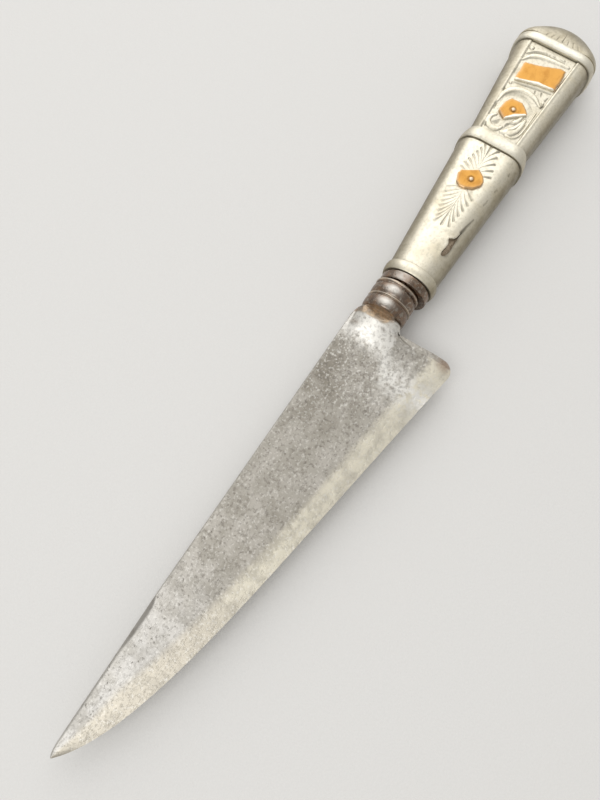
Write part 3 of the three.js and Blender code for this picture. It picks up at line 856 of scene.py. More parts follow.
def tear_open(bm):
    """Opens the tear through both walls of the lower sleeve and closes the sheet's torn edge."""
    outline = flowing(TEAR + TEAR[:1], 3)[:-1]
    ragged = [grain(np.column_stack([outline, turn * outline[:, :1]]), TEAR_GRAIN) for turn in (1, 2)]
    outline = outline + TEAR_RAGGEDNESS * np.column_stack(ragged)
    faces = list(bm.faces)
    middles = np.array([face.calc_center_median() for face in faces])
    torn = inside_outline(middles[:, :2], outline) & (middles[:, 2] > 0)
    bmesh.ops.delete(bm, geom=[face for face, gone in zip(faces, torn) if gone], context="FACES")
    rims = [edge for edge in bm.edges if edge.is_boundary]
    closed = np.vstack([outline, outline[:1]])
    for vert in {vert for edge in rims for vert in edge.verts}:
        x, y = nearest_on(closed, np.array(vert.co[:2]))
        inner = vert.co.z < front_height(vert.co.x, vert.co.y, -SHEET / 2)
        grow = -SHEET if inner else 0
        change = front_height(x, y, grow) - front_height(vert.co.x, vert.co.y, grow)
        vert.co = (x, y, vert.co.z + change)
    bmesh.ops.bridge_loops(bm, edges=rims)
    bmesh.ops.recalc_face_normals(bm, faces=bm.faces)


# Upper sleeve: a sunk field with raised scrolls
UPPER_FINE = (UPPER[0] + 0.8, UPPER[1] - 1)
FIELD = ((197, 6.6), (234, 8.2), (234, -7), (197, -4.75))
FIELD_EDGE = 0.25
FIELD_CUT_DEPTH = 0.2
FIELD_MATTING = ((0.45, 0.02, 7),)
BORDER_AT = -0.4
BORDER_WIDTH = 0.35
BORDER_HEIGHT = 0.12
SCROLL_EDGE_HEIGHT = 0.55
CREASE_WIDTH = 0.3
CREASE_END = 0.2

# Dirt of the field's ground, and darkening at the foot of the scrolls and along the crease by the border
GROUND_DIRT = 0.2
GROUND_RISE = (0.05, 0.6)
FOOT_DARKENING = 0.55
FOOT_STARTS = (0, 0.25)
FOOT_ENDS = (0.3, 0.75)
CREASE_DARKENING = 0.8

# Each scroll has a path and half widths along it.
SCROLLS = (
    # lip outside the groove on the rosette's pommel side
    (((208.6, 6.9), (212.4, 6.5), (215, 4.4), (216, 1.2), (215.4, -2), (213.4, -4.6)),
     (0.4, 0.9, 1, 0.9, 0.4)),
    # volute at the band, on the spine side
    (((204.3, 4.8), (203, 6), (201.1, 6), (199.8, 4.5), (199.9, 2.6), (201.2, 1.5)),
     (0.35, 0.85, 1, 0.9, 0.5)),
    # leaf below it, with a side lobe
    (((199.7, 0.9), (200.9, -1.2), (203.2, -2.7), (206.8, -3.3)), (0.6, 1.5, 1.4, 0.5)),
    (((203.5, 0.1), (205, -1.3), (207.4, -2.1)), (0.3, 0.9, 0.4)),
    # line that follows the edge side's border
    (((199.2, -0.6), (199.6, -3), (201.6, -4.2), (206, -4.6), (211, -4.7)), (0.25, 0.35, 0.35, 0.25)),
    # arch above the plate
    (((225.9, 7.5), (228.4, 5.6), (229.8, 2.6), (230.3, -1.2), (230.5, -5.6)), (0.4, 0.9, 0.8, 0.5)),
    (((228.6, 7.5), (230.9, 5), (231.9, 1.6), (232.2, -3.4)), (0.25, 0.45, 0.3)),
)
SCROLL_DOTS = ((231.2, 6.9, 0.8), (214.9, -4.9, 0.5), (216.4, 6.5, 0.45))

# Each cut has a path, half widths along it and an amount of dirt, which is painted shadow for the cuts by the
# plate.
FIELD_CUTS = (
    # groove round the rosette's pommel side
    (((208.8, 5.8), (211.6, 5.4), (213.4, 3.6), (213.9, 1), (213.2, -1.4), (211.4, -3.4)),
     (0.25, 0.75, 0.7, 0.3), 0.55),
    # dish of the volute and the notch between it and the leaf
    (((201.4, 4.5), (202, 3.5), (203.2, 3)), (0.45, 0.75, 0.35), 0.8),
    (((201.4, 0.7), (203, 0.4), (204.2, -0.6)), (0.2, 0.45, 0.25), 1),
    # veins of the leaf
    (((200.9, -0.6), (202.4, -2.2), (205.2, -2.9)), (0.1, 0.22, 0.1), 0.7),
    (((200.2, -2.4), (202.2, -3.6), (205.6, -4)), (0.1, 0.22, 0.12), 0.8),
    # painted shadow along the plate's blade side with its scallops, then dots by the borders
    (((217.1, 6.2), (217.7, 3), (218.5, -0.8), (219.2, -5.4)), (0.25, 0.4, 0.35), 0.75),
    (((217, -3.4), (218.2, -3.1)), (0.25, 0.35), 0.8),
    (((216.8, -1.4), (217.8, -1.2)), (0.25, 0.35), 0.8),
    (((213.2, -5.2), (214.2, -5.4)), (0.3, 0.3), 1),
    (((216.2, -5.2), (217.4, -5.4)), (0.3, 0.25), 1),
    (((212.6, 7.2), (214.2, 7.2)), (0.25, 0.25), 0.9),
    (((206, 6.4), (208, 6.6)), (0.2, 0.25), 0.8),
    (((199.4, 5.9), (200.2, 6.1)), (0.3, 0.2), 0.9),
    # ground between the arch's two lines
    (((228.9, 6.4), (230.6, 4), (231.3, 0.8), (231.4, -4)), (0.2, 0.35, 0.25), 0.7),
)


def outline_gap(places, outline):
    """Distance of places from an outline, positive inside it."""
    gaps = []
    for a, b in zip(outline, np.roll(outline, -1, axis=0)):
        step = b - a
        share = np.clip((places - a) @ step / (step @ step), 0, 1)
        gaps.append(np.linalg.norm(places - a - share[:, None] * step, axis=1))
    gap = np.minimum.reduce(gaps)
    return np.where(inside_outline(places, outline), gap, -gap)


def scrolled(places):
    """Height of the scrolls and dots over their field, as a share of the highest."""
    raised = np.zeros(len(places))
    for path, widths in SCROLLS:
        near, width = nearness(places, flowing(path), widths)
        level = SCROLL_EDGE_HEIGHT + (1 - SCROLL_EDGE_HEIGHT) * width / max(widths)
        raised = np.maximum(raised, np.sqrt(1 - (1 - near) ** 2) * level)
    for x, y, radius in SCROLL_DOTS:
        near = np.clip(1 - np.hypot(places[:, 0] - x, places[:, 1] - y) / radius, 0, 1)
        raised = np.maximum(raised, np.sqrt(1 - (1 - near) ** 2))
    return raised


def upper_relief(scroll_height):
    """The sunk field of the upper sleeve, with its border, scrolls, cuts and matted ground."""
    outline = np.array(FIELD)
    cuts = [(flowing(path), widths, dirt) for path, widths, dirt in FIELD_CUTS]

    def relief(points, out):
        places = front_places(points, out[:, 2] > FRONT_FACING)
        gap = outline_gap(places, outline)
        field = smooth_step(-FIELD_EDGE, FIELD_EDGE, gap)
        raised = scrolled(places)
        sunk, dirt = gouged(places, cuts, FIELD_CUT_DEPTH)
        ground = field * (1 - smooth_step(*GROUND_RISE, raised))
        foot = field * smooth_step(*FOOT_STARTS, raised) * (1 - smooth_step(*FOOT_ENDS, raised))
        crease = field * glow(gap, 0, CREASE_WIDTH) * (gap < CREASE_END)
        height = field * (scroll_height * raised - FIELD_DEPTH - sunk)
        height = height + BORDER_HEIGHT * glow(gap, BORDER_AT, BORDER_WIDTH)
        height = height + ground * layered_grain(points, FIELD_MATTING)
        joints = joint_dirt(points[:, 0], UPPER, SLEEVE_DIRT)
        darkened = [GROUND_DIRT * ground, FOOT_DARKENING * foot, CREASE_DARKENING * crease, dirt * field, joints]
        return height, np.maximum.reduce(darkened)

    return relief


# Dome: radiating strokes on its front

DOME_FAN = np.linspace(-5.4, 5.4, 7)
DOME_STROKE_REACH = (237.3, 239.4, 241.2)
DOME_STROKE_LEAN = 0.8
DOME_STROKE_WIDTHS = (0.2, 0.16, 0.06)
DOME_STROKE_DEPTH = 0.6
DOME_STROKE_DIRT = 0.4
DOME_ROWS = 110
DOME_INSIDE_ROWS = 9
DOME_COLUMNS = PLAIN_COLUMNS[:4] + (110,) + PLAIN_COLUMNS[5:]
DOME_ROUNDNESS = (2.3, 2.4)
DOME_PROUD = RING_PROUD * RING_EDGE
DOME_OVAL = (0, 0.7)
DOME_RIPPLE = ((4, 0.004, 9),)
DOME_SMOOTH_END = 0.2
# Painted shade over the dome, deeper towards its end and low on its sides
DOME_SIDE = (0.1, 0.7)
DOME_SHADE = 0.6
DOME_DEEPER_SHADE = 0.25
DOME_SHADE_DEEPENS = (1, 6)
QUARTER_TURN = math.pi / 2


def dome_cuts():
    """A fan of strokes that point at the dome's end, with a longer one in its middle."""
    start, end, long_end = DOME_STROKE_REACH
    cuts = []
    for y in DOME_FAN:
        stop = long_end if abs(y) < WELD else end
        cuts.append((((start, y), (stop, DOME_STROKE_LEAN * y)), DOME_STROKE_WIDTHS, DOME_STROKE_DIRT))
    return cuts


def dome_mesh(depth):
    """The dome's shell, which starts at the cap ring with the handle's section and turns oval."""
    start = CAP[1]
    half_width, half_height = HALF_WIDTHS[-1] + DOME_PROUD, HALF_HEIGHT + DOME_PROUD
    corner = CORNERS[-1] + DOME_PROUD
    inside = [(turn, SHEET) for turn in np.linspace(QUARTER_TURN, 0, DOME_INSIDE_ROWS)]
    outside = [(turn, 0) for turn in np.linspace(0, QUARTER_TURN, DOME_ROWS)]
    turns, insets = np.array(inside + outside).T
    cuts = dome_cuts()

    def place(column, row):
        inset, rise = insets[row], np.sin(turns[row])
        narrow, low = [np.clip(1 - rise ** power, 0, None) ** (1 / power) for power in DOME_ROUNDNESS]
        turn, across, up = on_walk(walk_of(column, DOME_COLUMNS))
        y = across * (half_width - corner) + corner * np.cos(turn)
        z = up * (half_height - corner) + corner * np.sin(turn)
        angle = np.arctan2(z / half_height, y / half_width)
        oval = smooth_step(*DOME_OVAL, rise)
        y = narrow * (1 - inset / half_width) * (y + (half_width * np.cos(angle) - y) * oval)
        z = low * (1 - inset / half_height) * (z + (half_height * np.sin(angle) - z) * oval)
        x = start + (DOME_END - start - inset) * rise
        points = np.column_stack([x, y, z])
        outer = inset == 0
        sunk, dirt = gouged(front_places(points, outer & (z > 0)), cuts, DOME_STROKE_DEPTH * depth)
        ripple = layered_grain(points, DOME_RIPPLE) * outer * (low > DOME_SMOOTH_END)
        points[:, 1:] *= (1 - sunk / half_height - ripple)[:, None]
        joint = RING_DIRT[1] * np.exp((start - x) / DIRT_REACH)
        # Painted shade: the dome is darker all over, more so towards its end and low on its sides
        dome_shade = DOME_SHADE + DOME_DEEPER_SHADE * smooth_step(*DOME_SHADE_DEEPENS, x - start)
        side = np.maximum(1 - smooth_step(*DOME_SIDE, z / half_height), dome_shade)
        return points, {"tarnish_and_shade": np.maximum(dirt, joint), "side": side}

    return lofted(sum(DOME_COLUMNS), len(turns) - 1, place)


# Gilt ornaments and their pins

SIDE_COLUMNS = 14
GILT_ROWS = 18
GILT_ROLL = 0.22
GILT_EDGE = 0.75
HAMMERING = ((2.2, 0.03, 6), (0.9, 0.015, 8))
RIM_GRAIN = 0.7
GROOVE_WIDTH = 0.22
GROOVE_DEPTH = 0.1
GROOVE_DIRT = 0.7
RIM_RUBBED = 0.3
RIM_RUBBED_REACH = 0.3
# Edges that face the bright side at least this squarely are painted pale as a highlight
HIGHLIGHT_FACING = 0.6
PIN_HEAD = (0.65, 0.26)
PIN_SHANK = (0.5, 3.2)
PIN_GAP = 0.04
PIN_DOME_STEPS = 7
PIN_SPIN_STEPS = 28
PIN_CROWN = 0.7
# The pin's crown is painted pale: wear, and a painted highlight
PIN_CROWN_WEAR_AND_HIGHLIGHT = 0.6
PIN_SIDE_RUBBED = 0.15

# Each outline goes round its middle. The edge on the side that faces bright is painted pale as a highlight,
# as far in as the reach given. Boss is the radius of the pin's groove, and ragged is how rough the outline
# is.
ORNAMENTS = (
    {"node": "lower_rosette", "middle": (180.5, 0.5), "sunk": 0, "bright": (1, 0.8), "bare": 0.3,
     "boss": 0.85, "ragged": 0.01,
     "outline": ((-3.4, 2), (-3.3, 0.2), (-2.2, -2), (-0.4, -3.4), (1, -3.5), (2.6, -2.6), (4.1, -0.4),
                 (1.3, 4), (0.2, 4.2), (-2.4, 3.3))},
    {"node": "upper_rosette", "middle": (207.9, 1.3), "sunk": FIELD_DEPTH, "bright": (-1, -0.75), "bare": 1.2,
     "boss": 0.85, "ragged": 0.02,
     "outline": ((-4.1, 0.9), (-2.1, 3.7), (1.4, 3.3), (3.4, 2.2), (3.6, -1.2), (2.2, -3), (0.6, -4.4))},
    {"node": "gilt_plate", "middle": (222.2, 0.2), "sunk": FIELD_DEPTH, "bright": (-1, 0), "bare": 1.1,
     "boss": 0, "ragged": 0.045,
     "outline": ((-4.3, 6), (2.7, 6.1), (4.1, 1.2), (6.5, -4.4), (6.3, -6.1), (-1.6, -6.1), (-2.5, -0.8))},
)


def gilt_base(ornament):
    """Height of an ornament's back."""
    return HALF_HEIGHT + GILT_SEAT - ornament["sunk"]


def gilt_rim(ornament):
    """Places round an ornament's hand-cut outline, and how squarely each faces the bright side."""
    corners = np.array(ornament["outline"], float)
    share = np.linspace(0, 1, SIDE_COLUMNS, endpoint=False)[:, None]
    rim = np.vstack([a + share * (b - a) for a, b in zip(corners, np.roll(corners, -1, axis=0))])
    rim = (np.roll(rim, 1, axis=0) + 2 * rim + np.roll(rim, -1, axis=0)) / 4
    ragged = grain(np.column_stack([rim, np.zeros(len(rim))]), RIM_GRAIN, seed=4)
    rim = rim * (1 + ornament["ragged"] * ragged)[:, None]
    along = np.roll(rim, -1, axis=0) - np.roll(rim, 1, axis=0)
    out = np.column_stack([along[:, 1], -along[:, 0]]) / np.linalg.norm(along, axis=1)[:, None]
    bright = np.array(ornament["bright"]) / np.linalg.norm(ornament["bright"])
    return rim, np.abs(out @ bright) * np.sign(rim @ bright)


def gilt_mesh(ornament):
    """A hand-cut gilt plate: a dressed face with rolled edges over a plain back."""
    rim, facing = gilt_rim(ornament)
    bare, boss, base = ornament["bare"], ornament["boss"], gilt_base(ornament)
    face = [(share, 1) for share in np.linspace(0, 1, GILT_ROWS)]
    rows = np.array(face + [(1, GILT_EDGE), (1, 0), (0, 0)])

    def place(column, row):
        share, up = rows[row].T
        edge = rim[column % len(rim)]
        flat = edge * share[:, None]
        from_rim = np.linalg.norm(edge, axis=1) * (1 - share)
        dressed = up == 1
        roll = dressed * smooth_step(0, GILT_ROLL, from_rim)
        thick = np.where(dressed, GILT_EDGE + (1 - GILT_EDGE) * roll, up) * GILT_THICKNESS
        groove = glow(np.linalg.norm(flat, axis=1), boss, GROOVE_WIDTH) * (boss > 0)
        plan = np.column_stack([flat + ornament["middle"], np.zeros(len(flat))])
        z = base + thick + roll * (layered_grain(plan, HAMMERING) - GROOVE_DEPTH * groove)
        # Painted highlight: the rim on the side that faces bright is painted pale
        bared = (1 - smooth_step(bare / 2, bare, from_rim)) * (facing[column % len(rim)] > HIGHLIGHT_FACING)
        rubbed_and_highlit = RIM_RUBBED * np.exp(-from_rim / RIM_RUBBED_REACH) + bared
        points = np.column_stack([plan[:, :2], z])
        return points, {"rubbed_and_highlit": np.clip(rubbed_and_highlit, 0, 1), "dirt": GROOVE_DIRT * groove}

    return lofted(len(rim), len(rows) - 1, place)


def pin_mesh(ornament):
    """A domed pin, spun from its profile about its own axis."""
    bm = bmesh.new()
    radius, rise = PIN_HEAD
    shank, length = PIN_SHANK
    turns = np.linspace(QUARTER_TURN, 0, PIN_DOME_STEPS)
    profile = [(radius * math.cos(turn), rise * math.sin(turn)) for turn in turns]
    profile += [(shank, 0), (shank, -length), (0, -length)]
    x, y = ornament["middle"]
    top = gilt_base(ornament) + GILT_THICKNESS + PIN_GAP
    verts = [bm.verts.new((x + across, y, top + up)) for across, up in profile]
    edges = [bm.edges.new(pair) for pair in zip(verts, verts[1:])]
    bmesh.ops.spin(bm, geom=verts + edges, cent=(x, y, top), axis=(0, 0, 1), angle=math.tau,
                   steps=PIN_SPIN_STEPS, use_merge=True)
    bmesh.ops.remove_doubles(bm, verts=bm.verts, dist=WELD)
    bmesh.ops.recalc_face_normals(bm, faces=bm.faces)
    layer = bm.verts.layers.float.new("rubbed_and_highlit")
    for vert in bm.verts:
        # Painted highlight with wear on the crown, a little wear on the sides
        vert[layer] = PIN_CROWN_WEAR_AND_HIGHLIGHT if vert.co.z > top + PIN_CROWN * rise else PIN_SIDE_RUBBED
    return bm


# Material helpers

BLOTCH_ROUGHNESS = 0.6
DRIFT_SCALE = 0.12
DRIFT = 1.5
SCRATCH_LEVELS = (0.58, 0.72)


def feed(tree, value, socket):
    """Sets a socket to a constant, or links it to another node's output."""
    if isinstance(value, bpy.types.NodeSocket):
        tree.links.new(value, socket)
    else:
        socket.default_value = value


def add_node(tree, kind, inputs=None, **settings):
    """One node with its settings and its inputs, which are constants or other nodes' outputs."""
    made = tree.nodes.new(kind)
    for name, value in settings.items():
        setattr(made, name, value)
    for socket, value in (inputs or {}).items():
        feed(tree, value, made.inputs[socket])
    return made


def add_math(tree, operation, *terms, clamp=False):
    """A sum on constants or other nodes' outputs."""
    inputs = dict(enumerate(terms))
    return add_node(tree, "ShaderNodeMath", inputs, operation=operation, use_clamp=clamp).outputs[0]


def add_vector_math(tree, operation, *terms):
    """A sum on vectors."""
    return add_node(tree, "ShaderNodeVectorMath", dict(enumerate(terms)), operation=operation).outputs[0]


def blotches(tree, given):
    """Cloudy blotches: noise of one size, spread between two levels."""
    cloud = add_node(tree, "ShaderNodeTexNoise", {
        "Vector": given["Vector"], "Scale": add_math(tree, "DIVIDE", 1, given["Size"]),
        "Detail": given["Detail"], "Roughness": BLOTCH_ROUGHNESS})
    spread = add_node(tree, "ShaderNodeMapRange", {
        "Value": cloud.outputs[0], "From Min": given["Low"], "From Max": given["High"]},
        interpolation_type="SMOOTHSTEP")
    return spread.outputs[0]


def pits(tree, given):
    """Round specks of one size, some left out."""
    warp = add_node(tree, "ShaderNodeTexNoise", {"Vector": given["Vector"], "Scale": 2, "Detail": 2})
    cells = add_node(tree, "ShaderNodeTexVoronoi", {
        "Vector": add_vector_math(tree, "ADD", warp.outputs["Color"], given["Vector"]),
        "Scale": add_math(tree, "DIVIDE", 1, given["Size"])})
    speck = add_node(tree, "ShaderNodeMapRange", {
        "Value": cells.outputs["Distance"], "From Min": 0, "From Max": given["Radius"],
        "To Min": 1, "To Max": 0}, interpolation_type="SMOOTHSTEP")
    lot = add_node(tree, "ShaderNodeSeparateColor", {0: cells.outputs["Color"]})
    kept = add_math(tree, "LESS_THAN", lot.outputs[0], given["Kept"])
    return add_math(tree, "MULTIPLY", speck.outputs[0], kept)


def scratches(tree, given):
    """Fine scratches, mostly along the knife."""
    finely = add_math(tree, "DIVIDE", 1, given["Width"])
    stretch = add_node(tree, "ShaderNodeCombineXYZ", {
        0: add_math(tree, "DIVIDE", 1, given["Length"]), 1: finely, 2: finely})
    warp = add_node(tree, "ShaderNodeTexNoise", {
        "Vector": given["Vector"], "Scale": DRIFT_SCALE, "Detail": 1})
    drift = add_vector_math(tree, "MULTIPLY", warp.outputs["Color"], (DRIFT, DRIFT, DRIFT))
    moved = add_vector_math(tree, "ADD", given["Vector"], drift)
    drawn = add_vector_math(tree, "MULTIPLY", moved, stretch.outputs[0])
    lines = add_node(tree, "ShaderNodeTexNoise", {"Vector": drawn, "Scale": 1, "Detail": 3})
    mask = add_node(tree, "ShaderNodeMapRange", {
        "Value": lines.outputs[0], "From Min": SCRATCH_LEVELS[0], "From Max": SCRATCH_LEVELS[1]})
    return mask.outputs[0]


# Shared masks: what builds each, and its inputs besides the place
MASKS = {
    "blotches": (blotches, {"Size": 1, "Low": 0.4, "High": 0.6, "Detail": 4}),
    "pits": (pits, {"Size": 1, "Radius": 0.3, "Kept": 0.5}),
    "scratches": (scratches, {"Length": 8, "Width": 0.25}),
}


def mask_group(name):
    """The node group of a shared mask, made when it is first asked for."""
    if name in bpy.data.node_groups:
        return bpy.data.node_groups[name]
    build, inputs = MASKS[name]
    tree = bpy.data.node_groups.new(name, "ShaderNodeTree")
    tree.interface.new_socket("Vector", in_out="INPUT", socket_type="NodeSocketVector")
    for socket, default in inputs.items():
        made = tree.interface.new_socket(socket, in_out="INPUT", socket_type="NodeSocketFloat")
        made.default_value = default
    tree.interface.new_socket("Mask", in_out="OUTPUT", socket_type="NodeSocketFloat")
    given = tree.nodes.new("NodeGroupInput").outputs
    result = tree.nodes.new("NodeGroupOutput").inputs
    tree.links.new(build(tree, given), result["Mask"])
    return tree


class Finish:
    """A material being made: masks over places in millimetres, and layers of colour over one shader."""

    def __init__(self, name, colour, metallic, rough):
        self.material = bpy.data.materials.new(name)
        self.material.use_nodes = True
        self.tree = self.material.node_tree
        self.tree.nodes.clear()
        self.shader = add_node(self.tree, "ShaderNodeBsdfPrincipled", {"Metallic": metallic})
        output = self.tree.nodes.new("ShaderNodeOutputMaterial")
        self.tree.links.new(self.shader.outputs[0], output.inputs[0])
        place = self.tree.nodes.new("ShaderNodeTexCoord").outputs["Object"]
        scale = (1 / MM, 1 / MM, 1 / MM)
        self.place = add_node(self.tree, "ShaderNodeMapping", {"Vector": place, "Scale": scale}).outputs[0]
        self.colour = (*colour, 1)
        self.rough = rough
        self.height = None

    def mask(self, name, **inputs):
        """A shared mask over the piece."""
        made = add_node(self.tree, "ShaderNodeGroup", node_tree=mask_group(name))
        for socket, value in {"Vector": self.place, **inputs}.items():
            feed(self.tree, value, made.inputs[socket])
        return made.outputs["Mask"]

    def attributes(self, *names):
        """Masks that the piece's mesh carries."""
        nodes = [add_node(self.tree, "ShaderNodeAttribute", attribute_name=name) for name in names]
        return [node.outputs["Fac"] for node in nodes]

    def math(self, operation, *terms):
        """A sum on masks, kept from 0 to 1."""
        return add_math(self.tree, operation, *terms, clamp=True)

    def both(self, first, *others, amount=1):
        """Where all masks are on, by an amount."""
        if amount != 1:
            others += (amount,)
        for term in others:
            first = self.math("MULTIPLY", first, term)
        return first

    def either(self, first, *others):
        """Where any mask is on."""
        for term in others:
            first = self.math("MAXIMUM", first, term)
        return first

    def without(self, *masks):
        """Where no mask is on."""
        return self.math("SUBTRACT", 1, self.either(*masks))

    def layer(self, colour, *masks, amount=1):
        """Lays a colour over what is there, where all its masks are on."""
        mix = add_node(self.tree, "ShaderNodeMix", {0: self.both(*masks, amount=amount)}, data_type="RGBA")
        below, above = [socket for socket in mix.inputs if socket.type == "RGBA"]
        feed(self.tree, self.colour, below)
        above.default_value = (*colour, 1)
        self.colour = next(socket for socket in mix.outputs if socket.type == "RGBA")

    def roughness(self, value, *masks, amount=1):
        """Moves the roughness towards a value, where all its masks are on."""
        covered = self.both(*masks, amount=amount)
        mix = add_node(self.tree, "ShaderNodeMix", {0: covered, 2: self.rough, 3: value})
        self.rough = mix.outputs[0]

    def bump(self, depth, *masks):
        """Raises the surface where all its masks are on, or sinks it where the depth is negative."""
        rise = add_math(self.tree, "MULTIPLY", self.both(*masks), depth)
        self.height = add_math(self.tree, "ADD", rise, self.height) if self.height else rise

    def finished(self):
        """The material, with its last colour, roughness and bumps on the shader."""
        feed(self.tree, self.colour, self.shader.inputs["Base Color"])
        feed(self.tree, self.rough, self.shader.inputs["Roughness"])
        bump = add_node(self.tree, "ShaderNodeBump", {"Strength": 1, "Distance": MM, "Height": self.height})
        self.tree.links.new(bump.outputs[0], self.shader.inputs["Normal"])
        return self.material


# Finishes

HANDLE_METAL = "worn_nickel_silver"
FIBRE_SHADE = 0.94


def forged_steel(look):
    """Grey pitted steel, ground along the edge, scoured before the bolster and browned on it."""
    finish = Finish("pitted_steel", look.steel, metallic=1, rough=0.5)
    clouds = finish.mask("blotches", Size=9, Low=0.42, High=0.66, Detail=6)
    broad = finish.mask("blotches", Size=4, Low=0.4, High=0.65, Detail=6)
    specks = finish.mask("blotches", Size=0.9, Low=0.5, High=0.64, Detail=5)
    bright_specks = finish.mask("blotches", Size=0.7, Low=0.52, High=0.66, Detail=5)
    flakes = finish.mask("blotches", Size=1.5, Low=0.5, High=0.6, Detail=6)
    flecks = finish.mask("blotches", Size=0.9, Low=0.52, High=0.62, Detail=5)
    blush = finish.mask("blotches", Size=1.6, Low=0.42, High=0.66, Detail=6)
    scrubbed = finish.mask("blotches", Size=1.6, Low=0.38, High=0.55)
    crust = finish.mask("blotches", Size=2.4, Low=0.3, High=0.6)
    rubbed_and_highlit = finish.mask("blotches", Size=1.2, Low=0.25, High=0.5, Detail=5)
    deep_pits = finish.mask("pits", Size=1.1, Radius=0.34, Kept=0.45)
    fine_pits = finish.mask("pits", Size=0.45, Radius=0.42, Kept=0.4)
    drawn = finish.mask("scratches", Length=9, Width=0.22)
    ground, keen, scoured, dark, shade, pale, mottled = finish.attributes(
        "ground", "keen", "scoured", "dark", "shade", "pale", "mottled")
    worn_and_highlit, brown, golden, rusty = finish.attributes("worn_and_highlit", "brown", "golden", "rusty")
    unground = finish.without(ground)
    speckled = finish.without(brown, finish.both(ground, amount=0.75), finish.both(pale, amount=0.6))

    finish.layer(look.patina, clouds, finish.without(brown, ground), amount=0.6)
    finish.layer(look.pale, pale, amount=0.55)
    finish.layer(look.ground, ground, amount=0.85)
    finish.layer(look.keen, keen, amount=0.85)
    finish.layer(look.patina, broad, amount=0.4)
    finish.layer(look.shade, shade, finish.math("ADD", broad, 0.45), amount=0.75)
    finish.layer(look.pit, specks, speckled, amount=0.5)
    finish.layer(look.bright, bright_specks, amount=0.42)
    finish.layer(look.bright, scoured, scrubbed)
    finish.layer(look.pit, deep_pits, unground, amount=0.6)
    finish.layer(look.pit, mottled, flakes, amount=0.4)
    finish.layer(look.bright, mottled, bright_specks, amount=0.4)
    finish.layer(look.rust, rusty, crust, amount=0.6)
    finish.layer(look.brown, brown, amount=0.92)
    finish.layer(look.deep_brown, brown, clouds, amount=0.5)
    finish.layer(look.rust, brown, blush, amount=0.55)
    finish.layer(look.patina, brown, flecks, amount=0.6)
    finish.layer(look.golden, golden, finish.math("ADD", blush, 0.4), amount=0.8)
    # Pale steel on the crest, bead and collar fronts, ridges and spine edge: wear, and a painted highlight
    finish.layer(look.bright, worn_and_highlit, rubbed_and_highlit, amount=0.85)
    finish.layer(look.pit, worn_and_highlit, specks, amount=0.22)
    finish.layer(look.pit, dark, amount=0.55)
    finish.roughness(0.58, clouds)
    finish.roughness(0.42, scoured, amount=0.7)
    finish.roughness(0.45, ground)
    finish.roughness(0.26, brown)
    finish.roughness(0.62, finish.either(deep_pits, fine_pits))
    finish.bump(-0.05, deep_pits, unground)
    finish.bump(-0.02, fine_pits, unground)
    finish.bump(-0.02, specks)
    finish.bump(-0.012, drawn)
    return finish.finished()


def nickel_silver(look):
    """Yellowed nickel silver with painted shade on its sides, tarnished in its cuts and joints,
    and with painted shade round the tear and beside the plate.
    """
    finish = Finish(HANDLE_METAL, look.nickel, metallic=1, rough=0.4)
    clouds = finish.mask("blotches", Size=7, Low=0.45, High=0.7, Detail=5)
    stains = finish.mask("blotches", Size=2.2, Low=0.55, High=0.75, Detail=5)
    fine = finish.mask("blotches", Size=0.8, Low=0.45, High=0.7, Detail=5)
    smears = finish.mask("blotches", Size=2.6, Low=0.36, High=0.66, Detail=7)
    dents = finish.mask("pits", Size=1.6, Radius=0.16, Kept=0.3)
    drawn = finish.mask("scratches", Length=7, Width=0.2)
    tarnish_and_shade, side, polished = finish.attributes("tarnish_and_shade", "side", "polished")

    finish.layer(look.nickel_warm, clouds, amount=0.75)
    finish.layer(look.nickel_dull, stains, amount=0.4)
    finish.layer(look.nickel_dull, fine, amount=0.3)
    finish.layer(look.nickel_dull, dents, amount=0.5)
    finish.layer(look.polished, polished, amount=0.5)
    # Painted shade on the handle's sides, mottled so that it reads partly as soiling
    finish.layer(look.shade_and_soil, side, finish.math("ADD", finish.both(smears, amount=0.22), 0.68))
    # Deeper painted shade, low on the sides
    finish.layer(look.under, finish.math("POWER", side, 4), amount=0.5)
    # Tarnish in cuts and joints, with painted shade round the tear and beside the plate
    finish.layer(look.tarnish_and_shade, tarnish_and_shade, finish.math("ADD", stains, 0.75), amount=0.9)
    finish.roughness(0.5, clouds)
    finish.roughness(0.55, fine)
    finish.roughness(0.55, drawn)
    finish.roughness(0.65, tarnish_and_shade)
    finish.bump(-0.006, drawn)
    finish.bump(-0.02, dents)
    finish.bump(-0.015, stains)
    finish.bump(-0.008, fine)
    return finish.finished()


def gilt(look):
    """Gilding pale along its edges from wear, with a painted highlight on the edges towards the light, and
    dirty round its pins.
    """
    finish = Finish("rubbed_gilding", look.gilt, metallic=1, rough=0.36)
    clouds = finish.mask("blotches", Size=2.5, Low=0.45, High=0.7, Detail=4)
    specks = finish.mask("pits", Size=0.9, Radius=0.2, Kept=0.35)
    drawn = finish.mask("scratches", Length=3, Width=0.15)
    rubbed_and_highlit, dirt = finish.attributes("rubbed_and_highlit", "dirt")

    finish.layer(look.gilt_deep, clouds, amount=0.4)
    finish.layer(look.gilt_deep, specks, amount=0.45)
    # Pale gilding along the edges: wear, with a painted highlight on the edges towards the light and on the
    # pins' crowns
    finish.layer(look.rubbed_and_highlit, rubbed_and_highlit)
    finish.layer(look.gilt_dirt, dirt)
    finish.roughness(0.46, clouds)
    finish.roughness(0.55, drawn)
    finish.bump(-0.02, specks)
    finish.bump(-0.008, drawn)
    finish.bump(0.015, clouds)
    return finish.finished()


